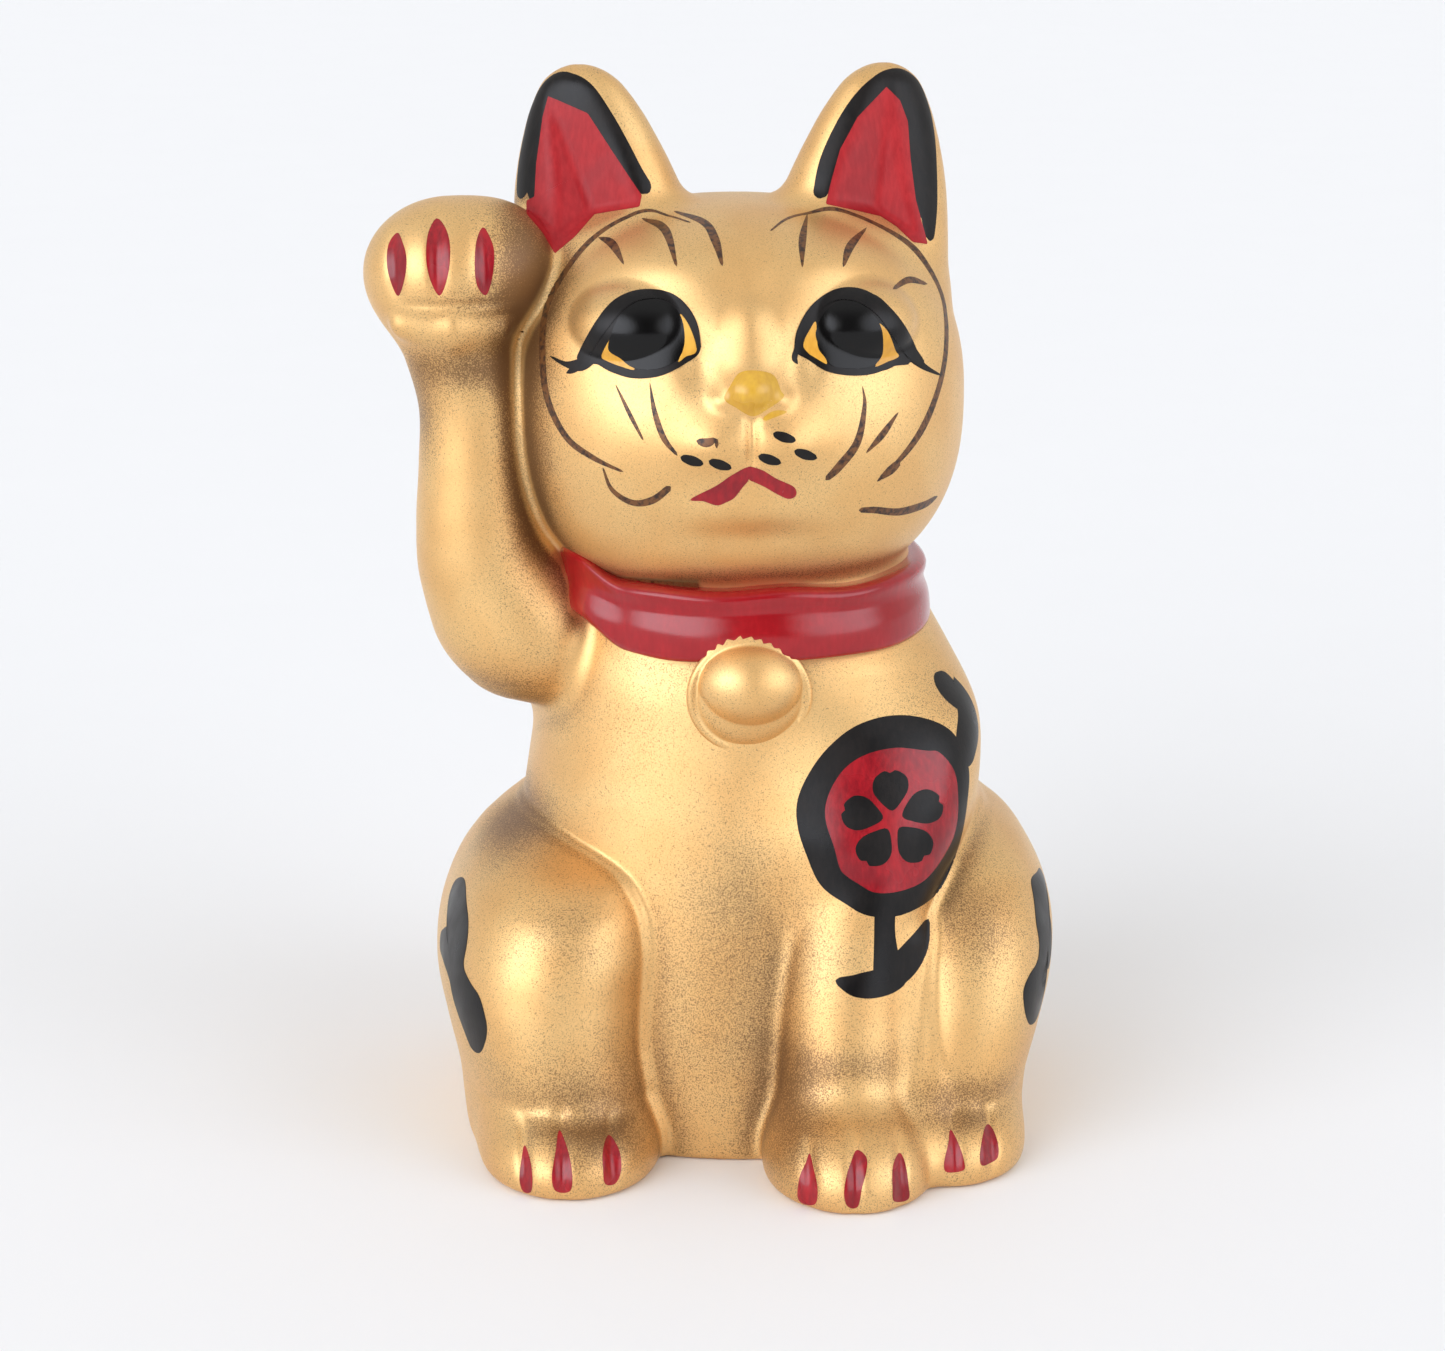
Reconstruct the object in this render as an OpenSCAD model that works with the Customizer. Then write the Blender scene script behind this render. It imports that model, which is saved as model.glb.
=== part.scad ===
// Seated beckoning cat figurine: a hollow slip-cast earthenware figure, luted together
// from cast sections, with a rubber plug in the drain hole of its base.
// The cat faces -Y, its own left side is +X, and Z = 0 is the face that it stands on.
// All lengths are in millimetres.

/* [Figure] */
// Height of the ear tips above the standing face
ear_tip_z = 250; // [246:1:254]
// Thickness of the cast clay wall
wall = 4.5; // [3.5:0.5:6]

/* [Trunk] */
// Half width of the trunk at its widest
trunk_half_w = 58; // [55:1:61]
// Distance from the body axis to the rump
rump_y = 67; // [63:1:70]
// Distance from the body axis to the belly
belly_y = 51; // [49:1:53]
// Height of the seam between the neck and the head
neck_z = 130; // [128:1:132]

/* [Head] */
// Half width of the head at the cheeks
head_half_w = 53.4; // [50:0.2:56]
// Distance from the head's axis to the face
face_y = 52; // [49:1:54]
// Distance from the head's axis to the back of the head
nape_y = 46; // [43:1:49]
// Height of the crown
crown_z = 219.5; // [217:0.5:222]
// Sideways lean of the head, towards the cat's right
head_lean = 2.8; // [0:0.2:4]

/* [Ears] */
// Half width of an ear where it leaves the crown
ear_half_w = 19.5; // [18:0.5:21]
// Half thickness of an ear where it leaves the crown
ear_half_t = 14; // [12:0.5:16]
// Sideways distance from the head's axis to the middle of an ear's root
ear_root_x = 29; // [28:0.5:30]
// Sideways distance from the head's axis to an ear tip
ear_tip_x = 35.5; // [34:0.5:37]

/* [Limbs] */
// Radius of the raised paw
paw_r = 20; // [18.5:0.5:21.5]
// Sideways distance from the body axis to the raised paw's centre
paw_x = 68; // [66.5:0.5:69.5]
// Height of the raised paw's centre
paw_z = 204; // [202:1:206]
// Radius of the standing foreleg
foreleg_r = 16; // [14:0.5:18]
// Sideways distance from the body axis to the foreleg
foreleg_x = 19.5; // [18:0.5:21]
// Half width across both haunches
haunch_half_w = 75; // [73:0.5:77]
// Height of the haunches
haunch_h = 76; // [73:1:79]
// Distance from the body axis to the toes of the hind feet
hind_toe_y = 67; // [64:1:69]
// Distance from the body axis to the toes of the forefoot
fore_toe_y = 83; // [80:1:85]

/* [Collar and bell] */
// Height of the collar band
collar_h = 14; // [12:0.5:16]
// How far the collar stands out of the neck
collar_relief = 2.2; // [1.5:0.1:3]
// Radius of the bell's flange
bell_flange_r = 12.6; // [11:0.2:14]
// Radius of the bell's ball
bell_ball_r = 10.6; // [9:0.2:11.2]

/* [Base] */
// Thickness of the clay floor
floor_t = 5; // [4:0.5:7]
// Radius of the slab that closes the bottom
slab_r = 36; // [32:1:38]
// Radius of the drain hole
drain_r = 11; // [9:0.5:12]
// Radial clearance between the plug and the drain hole
plug_clearance = 0.05; // [0.02:0.01:0.09]

/* [Hidden] */

LEFT = 1;
RIGHT = -1;
gold = "goldenrod";
red = "firebrick";
slice_t = 0.02;
round_fn = 40;
ball_fn = 22;
bell_fn = 36;
slab_y = 8;
slab_gap = 0.03;
drain_y = 23;
flange_r = drain_r + 3.5;
flange_t = 1.8;
flange_recess = 2.2;
plug_z = flange_recess - flange_t;
// The cavity of the head is the head's form, drawn in towards this height
head_mid_z = 0.5 * (neck_z + crown_z);

// Sections are [height, half width, front, back, sideways offset], lowest first.
trunk_sections = [
    [0, 0.87 * trunk_half_w, -0.86 * belly_y, 0.84 * rump_y, 0.5],
    [9, 0.95 * trunk_half_w, -0.93 * belly_y, 0.93 * rump_y, 0.5],
    [25, trunk_half_w, -0.98 * belly_y, rump_y, 1],
    [45, trunk_half_w, -belly_y, rump_y, 1.5],
    [65, 0.975 * trunk_half_w, -0.97 * belly_y, 0.95 * rump_y, 2],
    [84, 0.95 * trunk_half_w, -0.92 * belly_y, 0.88 * rump_y, 2.5],
    [100, 0.905 * trunk_half_w, -0.88 * belly_y, 0.8 * rump_y, 2],
    [112, 0.84 * trunk_half_w, -0.84 * belly_y, 0.725 * rump_y, 1],
    [122, 0.75 * trunk_half_w, -0.8 * belly_y, 0.65 * rump_y, 0],
    [neck_z - slice_t, 0.7 * trunk_half_w, -0.77 * belly_y, 0.6 * rump_y, 0]
];
head_h = crown_z - neck_z;
head_sections = [
    [neck_z, 0.7 * trunk_half_w, -0.77 * belly_y, 0.6 * rump_y, 0],
    [neck_z + 0.1 * head_h, 0.82 * head_half_w, -0.84 * face_y, 0.9 * nape_y, 0.6 * -head_lean],
    [neck_z + 0.17 * head_h, 0.885 * head_half_w, -0.91 * face_y, 0.93 * nape_y, -head_lean],
    [neck_z + 0.24 * head_h, 0.94 * head_half_w, -0.96 * face_y, 0.96 * nape_y, -head_lean],
    [neck_z + 0.37 * head_h, 0.985 * head_half_w, -face_y, 0.99 * nape_y, -head_lean],
    [neck_z + 0.5 * head_h, head_half_w, -0.995 * face_y, nape_y, -head_lean],
    [neck_z + 0.63 * head_h, 0.99 * head_half_w, -0.95 * face_y, 0.98 * nape_y, -head_lean],
    [neck_z + 0.76 * head_h, 0.945 * head_half_w, -0.85 * face_y, 0.9 * nape_y, -head_lean],
    [neck_z + 0.87 * head_h, 0.85 * head_half_w, -0.68 * face_y, 0.75 * nape_y, -head_lean],
    [neck_z + 0.94 * head_h, 0.71 * head_half_w, -0.5 * face_y, 0.58 * nape_y, -head_lean],
    [neck_z + 0.98 * head_h, 0.5 * head_half_w, -0.32 * face_y, 0.38 * nape_y, -head_lean],
    [crown_z, 0.28 * head_half_w, -0.16 * face_y, 0.2 * nape_y, -head_lean]
];
ear_h = ear_tip_z - crown_z;
ear_root_z = crown_z - 18;
// Ear sections are [height, half width, half thickness, share of the way from root to tip].
ear_sections = [
    [ear_root_z, 1.06 * ear_half_w, 1.25 * ear_half_t, -0.2],
    [crown_z, ear_half_w, ear_half_t, 0.15],
    [crown_z + 0.22 * ear_h, 0.91 * ear_half_w, 0.86 * ear_half_t, 0.42],
    [crown_z + 0.43 * ear_h, 0.8 * ear_half_w, 0.7 * ear_half_t, 0.6],
    [crown_z + 0.64 * ear_h, 0.66 * ear_half_w, 0.53 * ear_half_t, 0.75],
    [crown_z + 0.83 * ear_h, 0.45 * ear_half_w, 0.36 * ear_half_t, 0.9],
    [crown_z + 0.95 * ear_h, 0.24 * ear_half_w, 0.22 * ear_half_t, 0.98],
    [ear_tip_z - slice_t, 0.06 * ear_half_w, 0.08 * ear_half_t, 1]
];

// Balls are [centre, radii], in the order that the limb runs.
arm_balls = [
    [[-38, 2, 112], [19, 24, 17]],
    [[-49, -3, 113], [18, 23, 17.5]],
    [[-55.5, -7, 121], [18, 20, 18]],
    [[-59.5, -9, 137], [18, 18, 18]],
    [[-60.5, -10, 158], [16.5, 17, 18]],
    [[-61.5, -12, 178], [15.5, 16.5, 14]],
    [[-paw_x + 3, -14, paw_z - 10], [paw_r - 3, paw_r - 2, paw_r - 7]],
    [[-paw_x, -15, paw_z], [paw_r, paw_r, paw_r - 2.5]]
];
foreleg_balls = [
    [[foreleg_x + 9, -26, 104], [foreleg_r + 2, 16, 20]],
    [[foreleg_x + 5, -35, 80], [foreleg_r + 2, 18, 20]],
    [[foreleg_x + 1, -46, 55], [foreleg_r + 1, 17, 20]],
    [[foreleg_x, -52, 35], [foreleg_r, 15.5, 18]],
    [[foreleg_x, -55, 18], [foreleg_r, 16, 14]],
    [[foreleg_x, -57, 8], [foreleg_r + 2.5, fore_toe_y - 57, 12]]
];
haunch_x = haunch_half_w - 26;
haunch_balls = [
    [[haunch_x - 6, 34, 34], [24, 30, 33]],
    [[haunch_x - 1, 14, 0.5 * haunch_h], [26.5, 38, 0.5 * haunch_h]],
    [[haunch_x, -8, 0.5 * haunch_h - 1], [26, 36, 0.5 * haunch_h - 2]],
    [[haunch_x - 1.5, -24, 30], [25.5, 33, 30]]
];
hind_foot_balls = [
    [[haunch_x - 3, -22, 10], [22, 26, 14]],
    [[haunch_x - 3, 20 - hind_toe_y, 8], [21, 20, 12]]
];
tail_balls = [
    [[4, rump_y - 5, 13], [9, 9, 10]],
    [[7, rump_y - 1, 24], [9.5, 8.5, 10]],
    [[13, rump_y, 36], [9, 8, 9.5]],
    [[20, rump_y - 3, 45], [8, 7.5, 8]]
];

// An upright form through elliptical sections, each drawn inwards by inset.
module loft(sections, inset = 0) {
    for (i = [0 : len(sections) - 2])
        hull() {
            section_slice(sections[i], inset);
            section_slice(sections[i + 1], inset);
        }
}

module section_slice(s, inset) {
    translate([s[4], (s[2] + s[3]) / 2, s[0]])
        scale([s[1] - inset, (s[3] - s[2]) / 2 - inset, 1])
            cylinder(h = slice_t, r = 1, $fn = round_fn);
}

// A rounded limb through a row of balls, each shrunk by inset.
module limb(balls, inset = 0) {
    for (i = [0 : len(balls) - 2])
        hull() {
            ball(balls[i], inset);
            ball(balls[i + 1], inset);
        }
}

module ball(b, inset) {
    translate(b[0])
        scale([b[1][0] - inset, b[1][1] - inset, b[1][2] - inset])
            sphere(r = 1, $fn = ball_fn);
}

// Everything above the standing face
module above_floor(z = 0) {
    translate([-150, -150, z])
        cube([300, 300, 400]);
}

module trunk_form() {
    loft(trunk_sections);
}

module head_form() {
    loft(head_sections);
}

module haunch_form(side, inset = 0) {
    intersection() {
        mirror([side == RIGHT ? 1 : 0, 0, 0]) {
            limb(haunch_balls, inset);
            limb(hind_foot_balls, inset);
        }
        above_floor(inset);
    }
}

module foreleg_form(inset = 0) {
    intersection() {
        limb(foreleg_balls, inset);
        above_floor(inset);
    }
}

module arm_form(inset = 0) {
    limb(arm_balls, inset);
}

// One ear, grown from the crown and scaled about its own axis by part
module ear_form(side, part = 1) {
    for (i = [0 : len(ear_sections) - 2])
        hull() {
            ear_slice(ear_sections[i], side, part);
            ear_slice(ear_sections[i + 1], side, part);
        }
}

module ear_slice(s, side, part) {
    x = ear_root_x + s[3] * (ear_tip_x - ear_root_x);
    translate([side * x - head_lean, 2, s[0]])
        scale([part * s[1], part * s[2], 1])
            cylinder(h = slice_t, r = 1, $fn = round_fn);
}

// The neck band's outer form: sections of the neck, widened by the relief
module collar_form() {
    low = neck_z - 0.62 * collar_h;
    high = neck_z + 0.38 * collar_h;
    steps = 6;
    tilt = 3;
    for (i = [0 : steps - 1]) {
        t0 = i / steps;
        t1 = (i + 1) / steps;
        hull() {
            collar_slice(low + t0 * (high - low), 4 * t0 * (1 - t0), tilt);
            collar_slice(low + t1 * (high - low), 4 * t1 * (1 - t1), tilt);
        }
    }
}

module collar_slice(z, swell, tilt) {
    neck_w = 0.705 * trunk_half_w;
    neck_d = (0.78 * belly_y + 0.62 * rump_y) / 2;
    neck_y = (0.62 * rump_y - 0.78 * belly_y) / 2;
    out = collar_relief * (0.35 + 0.65 * sqrt(swell));
    translate([0, neck_y, z])
        rotate([tilt, 0, 0])
            scale([neck_w + out, neck_d + out, 1])
                cylinder(h = slice_t, r = 1, $fn = round_fn);
}

// The bell's frame of reference: on the chest, its face tipped a little upwards
module at_bell() {
    translate([-2.3, -belly_y * 0.8 - 3.4, neck_z - 18])
        rotate([90 - 6, 0, 0])
            children();
}

module torso_shell() {
    color(gold)
        difference() {
            trunk_form();
            intersection() {
                loft(trunk_sections, wall);
                above_floor(floor_t);
            }
            translate([0, slab_y, -1])
                cylinder(h = floor_t + 2, r = slab_r + slab_gap, $fn = 96);
        }
}

// The hollow of the head: its own form drawn in by the wall, and open at the throat
module head_cavity() {
    translate([-head_lean, 0, head_mid_z])
        scale([1 - wall / head_half_w, 1 - wall / nape_y, 1 - wall / (crown_z - head_mid_z)])
            translate([head_lean, 0, -head_mid_z])
                head_form();
    hull() {
        translate([0, 0, -slice_t])
            section_slice(head_sections[0], wall);
        section_slice(head_sections[1], 1.5 * wall);
    }
}

module head_shell() {
    color(gold)
        difference() {
            head_form();
            head_cavity();
        }
}

module ear(side) {
    color(gold)
        difference() {
            ear_form(side);
            translate([side * 1.5, -0.62 * ear_half_t, -4])
                ear_form(side, 0.74);
            head_form();
        }
}

module left_ear() {
    ear(LEFT);
}

module right_ear() {
    ear(RIGHT);
}

module raised_arm() {
    color(gold)
        difference() {
            arm_form();
            arm_form(wall);
            trunk_form();
            head_form();
        }
}

module haunch(side) {
    color(gold)
        difference() {
            haunch_form(side);
            haunch_form(side, wall);
            trunk_form();
        }
}

module left_haunch() {
    haunch(LEFT);
}

module right_haunch() {
    haunch(RIGHT);
}

module left_foreleg() {
    color(gold)
        difference() {
            foreleg_form();
            foreleg_form(wall);
            trunk_form();
            haunch_form(LEFT);
        }
}

module collar() {
    color(red)
        difference() {
            collar_form();
            trunk_form();
            head_form();
            arm_form();
            foreleg_form();
        }
}

module bell() {
    color(gold)
        difference() {
            at_bell()
                rotate_extrude($fn = bell_fn)
                    bell_profile();
            collar_form();
            trunk_form();
            foreleg_form();
        }
}

// Half section of the bell: a flange with a rounded rim, and the ball that stands out of it
module bell_profile() {
    intersection() {
        union() {
            translate([0, -4])
                square([bell_flange_r - 1, 6]);
            translate([bell_flange_r - 1, 1])
                circle(r = 1, $fn = 12);
            translate([0, -4])
                square([bell_flange_r, 5]);
            translate([0, 0.5])
                circle(r = bell_ball_r, $fn = bell_fn);
        }
        translate([0, -4])
            square([2 * bell_flange_r, 20]);
    }
}

module tail() {
    color(gold)
        difference() {
            limb(tail_balls);
            trunk_form();
            haunch_form(LEFT);
        }
}

module base_plate() {
    color("tan")
        difference() {
            translate([0, slab_y, 0])
                cylinder(h = floor_t, r = slab_r, $fn = 96);
            translate([0, drain_y, -1])
                cylinder(h = floor_t + 2, r = drain_r, $fn = 96);
            translate([0, drain_y, -1])
                cylinder(h = flange_recess + 1, r = flange_r + 0.5, $fn = 96);
        }
}

module base_stopper() {
    plug_r = drain_r - plug_clearance;
    color("dimgray")
        translate([0, drain_y, plug_z])
            rotate_extrude($fn = 96)
                polygon([
                    [0, 0],
                    [flange_r, 0],
                    [flange_r, flange_t],
                    [plug_r, flange_t],
                    [plug_r, floor_t + 2],
                    [plug_r - 1.5, floor_t + 5],
                    [0, floor_t + 5]
                ]);
}

torso_shell();
head_shell();
left_ear();
right_ear();
raised_arm();
left_foreleg();
left_haunch();
right_haunch();
collar();
bell();
tail();
base_plate();
base_stopper();
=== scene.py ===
"""Beckoning cat figurine: a gold painted casting with enamel details, on a pale floor."""

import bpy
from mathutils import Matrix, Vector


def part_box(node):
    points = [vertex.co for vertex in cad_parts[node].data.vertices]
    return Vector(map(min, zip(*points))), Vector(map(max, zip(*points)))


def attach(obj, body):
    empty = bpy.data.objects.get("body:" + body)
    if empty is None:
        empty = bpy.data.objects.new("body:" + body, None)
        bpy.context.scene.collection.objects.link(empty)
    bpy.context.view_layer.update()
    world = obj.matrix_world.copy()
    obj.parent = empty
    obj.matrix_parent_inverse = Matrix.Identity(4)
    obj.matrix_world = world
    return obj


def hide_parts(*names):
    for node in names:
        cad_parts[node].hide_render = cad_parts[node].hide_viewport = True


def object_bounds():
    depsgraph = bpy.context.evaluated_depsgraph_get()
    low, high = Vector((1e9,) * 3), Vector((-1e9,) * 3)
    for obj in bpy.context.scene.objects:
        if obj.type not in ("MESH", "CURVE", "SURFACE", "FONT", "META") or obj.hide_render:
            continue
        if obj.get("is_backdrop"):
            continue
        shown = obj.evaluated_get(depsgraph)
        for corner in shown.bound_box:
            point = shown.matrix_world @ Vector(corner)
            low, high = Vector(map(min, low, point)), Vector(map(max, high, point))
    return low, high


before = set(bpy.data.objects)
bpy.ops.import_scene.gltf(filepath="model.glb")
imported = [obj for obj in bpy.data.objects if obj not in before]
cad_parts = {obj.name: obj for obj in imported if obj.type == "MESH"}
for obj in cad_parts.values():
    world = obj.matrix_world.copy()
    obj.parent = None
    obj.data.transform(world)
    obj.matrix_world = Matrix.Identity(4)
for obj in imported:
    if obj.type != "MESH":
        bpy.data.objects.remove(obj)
CAD_LOW, CAD_HIGH = (list(corner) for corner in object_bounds())

import math
from concurrent.futures import ThreadPoolExecutor

import bpy
import numpy as np
import openvdb
from mathutils import Vector

MM = 0.001
BODY = "figure"


def extent(node):
    """Lowest and highest corner of a CAD node, in millimetres."""
    low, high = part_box(node)
    return np.array(low) / MM, np.array(high) / MM


def middle(node):
    return sum(extent(node)) / 2.0


# ---- camera
EYE = np.array([-62.0, -808.0, 321.55])
HEADING = np.array([0.0674, 0.9636, -0.2588])


def make_camera():
    lens = bpy.data.cameras.new("camera")
    lens.lens, lens.sensor_width = 87.12, 36.0
    lens.clip_start, lens.clip_end = 0.05, 50.0
    camera = bpy.data.objects.new("camera", lens)
    camera.location = EYE * MM
    camera.rotation_euler = Vector(HEADING).to_track_quat("-Z", "Y").to_euler()
    bpy.context.scene.collection.objects.link(camera)
    bpy.context.scene.camera = camera


make_camera()


# ---- signed distance helpers (mm)
def length(*a):
    return np.sqrt(sum(x * x for x in a))


def smin(a, b, k):
    """The two forms together, with a soft joint of about that reach."""
    h = np.maximum(k - np.abs(a - b), 0.0) / k
    return np.minimum(a, b) - h * h * k * 0.25


def smax(a, b, k):
    return -smin(-a, -b, k)


def seam(a, b, k, rise, width=1.5):
    """A soft joint of two forms with a thin bead of slip along it."""
    return smin(a, b, k) - rise * np.exp(-(((a - b) / width) ** 2))


def step(lo, hi, x):
    """From 0 at lo to 1 at hi, softly at both ends."""
    t = np.clip((x - lo) / (hi - lo), 0.0, 1.0)
    return t * t * (3.0 - 2.0 * t)


def bump(x, z, at, size, height):
    """A soft bump of that height on a surface seen from the front."""
    return height * np.exp(-(((x - at[0]) / size[0]) ** 2) - ((z - at[1]) / size[1]) ** 2)


def ball(p, at, r):
    """Ellipsoid, by its centre and three radii."""
    q = [(p[i] - at[i]) / r[i] for i in range(3)]
    k0 = length(*q)
    k1 = length(*[q[i] / r[i] for i in range(3)])
    return k0 * (k0 - 1.0) / np.maximum(k1, 1e-6)


def rod(p, a, b, ra, rb):
    """Round tapered rod from a to b."""
    ab = [b[i] - a[i] for i in range(3)]
    t = sum((p[i] - a[i]) * ab[i] for i in range(3)) / sum(c * c for c in ab)
    t = np.clip(t, 0.0, 1.0)
    return length(*[p[i] - a[i] - t * ab[i] for i in range(3)]) - (ra + (rb - ra) * t)


def curve(xs, ys):
    """Smooth curve through points, as a function: cubic spans, looked up in a dense table."""
    xs, ys = np.array(xs, float), np.array(ys, float)
    m = np.gradient(ys, xs)
    dense = np.linspace(xs[0], xs[-1], 400)
    i = np.clip(np.searchsorted(xs, dense, side="right") - 1, 0, len(xs) - 2)
    h = xs[i + 1] - xs[i]
    t = (dense - xs[i]) / h
    out = ((2 * t**3 - 3 * t**2 + 1) * ys[i] + (t**3 - 2 * t**2 + t) * h * m[i]
           + (-2 * t**3 + 3 * t**2) * ys[i + 1] + (t**3 - t**2) * h * m[i + 1])
    return lambda x: np.interp(x, dense, out)


# ---- the cat as a distance field
HX = middle("head_shell")[0]    # the head's middle, sideways
EX = HX - 1.0    # the same for the pair of ears
GROUND_ROUND = 2.0    # how softly the casting's foot turns in at the floor
BAND_WALL = 3.0
FAR = 40.0    # distance given to points outside a form's fence


def columns(rows):
    """Curves over the height, from rows of height, half width, front, back and sideways middle."""
    t = list(zip(*rows))
    return [curve(t[0], t[i]) for i in range(1, 5)]


def column(p, cols, n=2.2, low=None, high=None, cap=6.0):
    """An upright form whose level sections are rounded ovals, with soft ends at low and high."""
    x, y, z = p
    w, f, b, o = (c(z) for c in cols)
    cy = 0.5 * (f + b)
    u, v = (x - o) / w, (y - cy) / (b - cy)
    q = (np.abs(u) ** n + np.abs(v) ** n) ** (1 / n)
    r = length(x - o, y - cy)
    d = np.where(q > 0.02, r * (1 - 1 / np.maximum(q, 0.02)), -np.minimum(w, b - cy))
    d = 0.97 * d
    if high is not None:
        d = smax(d, z - high, cap)
    if low is not None:
        d = smax(d, low - z, cap)
    return d


TRUNK = columns([
    (-6, 52, -49, 57, 0.5),
    (0, 53.5, -49.5, 60, 0.5),
    (12, 55.5, -50, 64, 0.5),
    (28, 57, -50, 66.5, 1),
    (45, 57, -49.5, 66, 1.5),
    (65, 56, -48, 62, 1.5),
    (84, 54, -46.5, 57, 2),
    (100, 51, -44.5, 51, 1.5),
    (112, 47.5, -42.5, 45.5, 0.5),
    (122, 43.5, -39.5, 41, 0),
    (131, 39.5, -38, 39, 0),
    (146, 39, -38, 38, 0),
])


def trunk(p):
    """The upright body, from the floor to the neck."""
    return column(p, TRUNK, 2.2, high=140)


def head_base(p):
    """The plain head: a boxy egg, squarer level than upright."""
    x, y, z = p[0] - HX, p[1] + 2, p[2] - 174.5
    wide = 53.3
    deep = np.where(y < 0, 50, 48.5)
    tall = np.where(z > 0, 45.3, 48.5)
    level = 2.25
    upright = np.where(z > 0, 2.4, 2.45)
    ring = ((np.abs(x) / wide) ** level + (np.abs(y) / deep) ** level) ** (1 / level)
    q = (ring**upright + (np.abs(z) / tall) ** upright) ** (1 / upright)
    q = np.maximum(q, 0.02)
    return length(x, y, z) * (1 - 1 / q) * 0.95


def face_relief(p):
    """How far the face stands out of the plain head."""
    x, y, z = p[0] - HX, p[1], p[2]
    ax = np.abs(x)
    h = bump(ax, z, (22.5, 194), (16, 12), -1.8)    # eye sockets
    h = h + bump(ax, z, (10.5, 188), (4.6, 6.5), -2)    # inner corners
    h = h + bump(ax, z, (17.5, 210), (12.5, 5.5), 1.4)    # brows
    h = h + bump(x, z, (0, 203), (6, 9), -0.9)    # between the brows
    h = h + bump(x, z, (0, 170.5), (19, 13), 2.6)    # muzzle
    h = h + bump(ax, z, (9, 171), (7, 6), 1.9)    # whisker pads
    h = h + bump(x, z, (0, 155.5), (13, 5), 1.5)    # chin
    h = h + bump(x, z, (0, 149.5), (15, 3.5), -0.6)    # under the chin
    h = h + bump(ax, z, (31, 170), (14, 13), 1)    # cheeks
    philtrum = np.exp(-((x / 1.5) ** 2)) * step(163, 169, z) * step(180, 176, z)
    h = h - philtrum
    return h * step(4, -20, y)


def nose(p):
    q = [p[0] - HX, p[1], p[2]]
    d = ball(q, (0, -49.2, 183), (6.3, 7.2, 4.8))
    d = smin(d, ball(q, (0, -42.4, 191), (6.6, 7, 11)), 8)
    for s in (-1, 1):
        d = smin(d, ball(q, (s * 6, -48.8, 180.8), (3.4, 5, 2.8)), 1.8)
    return d


def eyes(p):
    q = [np.abs(p[0] - HX) - 22.7, p[1], p[2]]
    return ball(q, (0, -30.4, 194.4), (16.5, 15.7, 11.5))


def head(p):
    d = head_base(p) - face_relief(p)
    d = smin(d, nose(p), 2.2)
    return smin(d, eyes(p), 1)


EAR = columns([
    (196, 22, -24, 20, 26.5),
    (205, 21.7, -20.5, 17.5, 27.6),
    (213, 20.9, -17, 15, 28.9),
    (221.5, 19.6, -13, 13, 30.4),
    (227.5, 17.9, -10.7, 11.3, 31.4),
    (233.5, 15.7, -8.6, 9.8, 32.4),
    (239.5, 13, -6.4, 8.4, 33.4),
    (245.5, 9.2, -4, 6.8, 34.4),
    (251, 4, -1.4, 4.6, 35),
])
EAR_TURN = math.radians(20)
# Mouth of the ear's hollow: tip, inner corner, outer corner, and its deepest point
EAR_PITS = {
    1: ((34.7, -4.5, 244.5), (18.6, -15.9, 219), (44.2, -14, 209), (31.6, -9.4, 217.4)),
    -1: ((42, -1.4, 243.2), (20.2, -15.6, 219.4), (43.2, -15, 209), (32.2, -9.4, 217.4)),
}


def ear(p, s):
    """An ear with its three-sided hollow: s is 1 for the cat's left ear and -1 for its right."""
    x, y, z = (p[0] - EX) * s - 0.5 - 0.5 * s, p[1], p[2]
    cx = EAR[3](z)
    c, sn = math.cos(EAR_TURN), math.sin(EAR_TURN)
    u, v = (x - cx) * c + y * sn, -(x - cx) * sn + y * c
    d = column([u + cx, v, z], EAR, 2.2, low=196, high=249.6, cap=5) * 0.95
    tip, inner, outer, deep = EAR_PITS[s]
    mouth = np.mean([tip, inner, outer], axis=0)
    pit = None
    for a, b in ((tip, inner), (inner, outer), (outer, tip)):
        n = np.cross(np.subtract(a, deep), np.subtract(b, deep))
        n = n / np.linalg.norm(n)
        n = n if np.dot(n, mouth - deep) > 0 else -n
        wall = -(n[0] * (x - deep[0]) + n[1] * (y - deep[1]) + n[2] * (z - deep[2]))
        pit = wall if pit is None else smax(pit, wall, 1.2)
    return smax(d, -pit, 1.4)


ARM = columns([
    (108, 17, -22, 12, -50.8),
    (116, 17.2, -24, 10.5, -54.8),
    (124, 17.2, -25.5, 9, -57.8),
    (134, 16.2, -26.5, 7.5, -61.1),
    (146, 14.8, -26.8, 6.5, -62.8),
    (160, 13.6, -26.6, 5, -63.1),
    (174, 12.9, -26.5, 2.5, -63.6),
    (184, 13.2, -27.5, 0.5, -65.8),
    (194, 14.2, -28.5, 0, -68.3),
    (206, 15, -28.5, 0, -70.3),
])


def arm(p):
    d = column(p, ARM, 2.1, low=107, high=206, cap=14)
    return smin(d, rod(p, (-36, 0, 113), (-50, -6, 120), 18, 17), 12)


def paw(p):
    d = ball(p, (-68, -14.5, 204.5), (20.2, 18.5, 17.2))
    d = smin(d, ball(p, (-57.8, -12.5, 205.5), (12.9, 13.4, 14)), 6)
    for a, b in ((-79, 3), (-58, 3.2)):
        d = smin(d, rod(p, (-68, -26.8, 194), (a, -24.6, 194.6), 4.7, b), 1.4)
    fold = np.exp(-((p[2] - 199.6) ** 2) - (((p[0] + 68) / 11) ** 4)) * step(-26, -30, p[1])
    return d + 0.5 * fold


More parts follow.
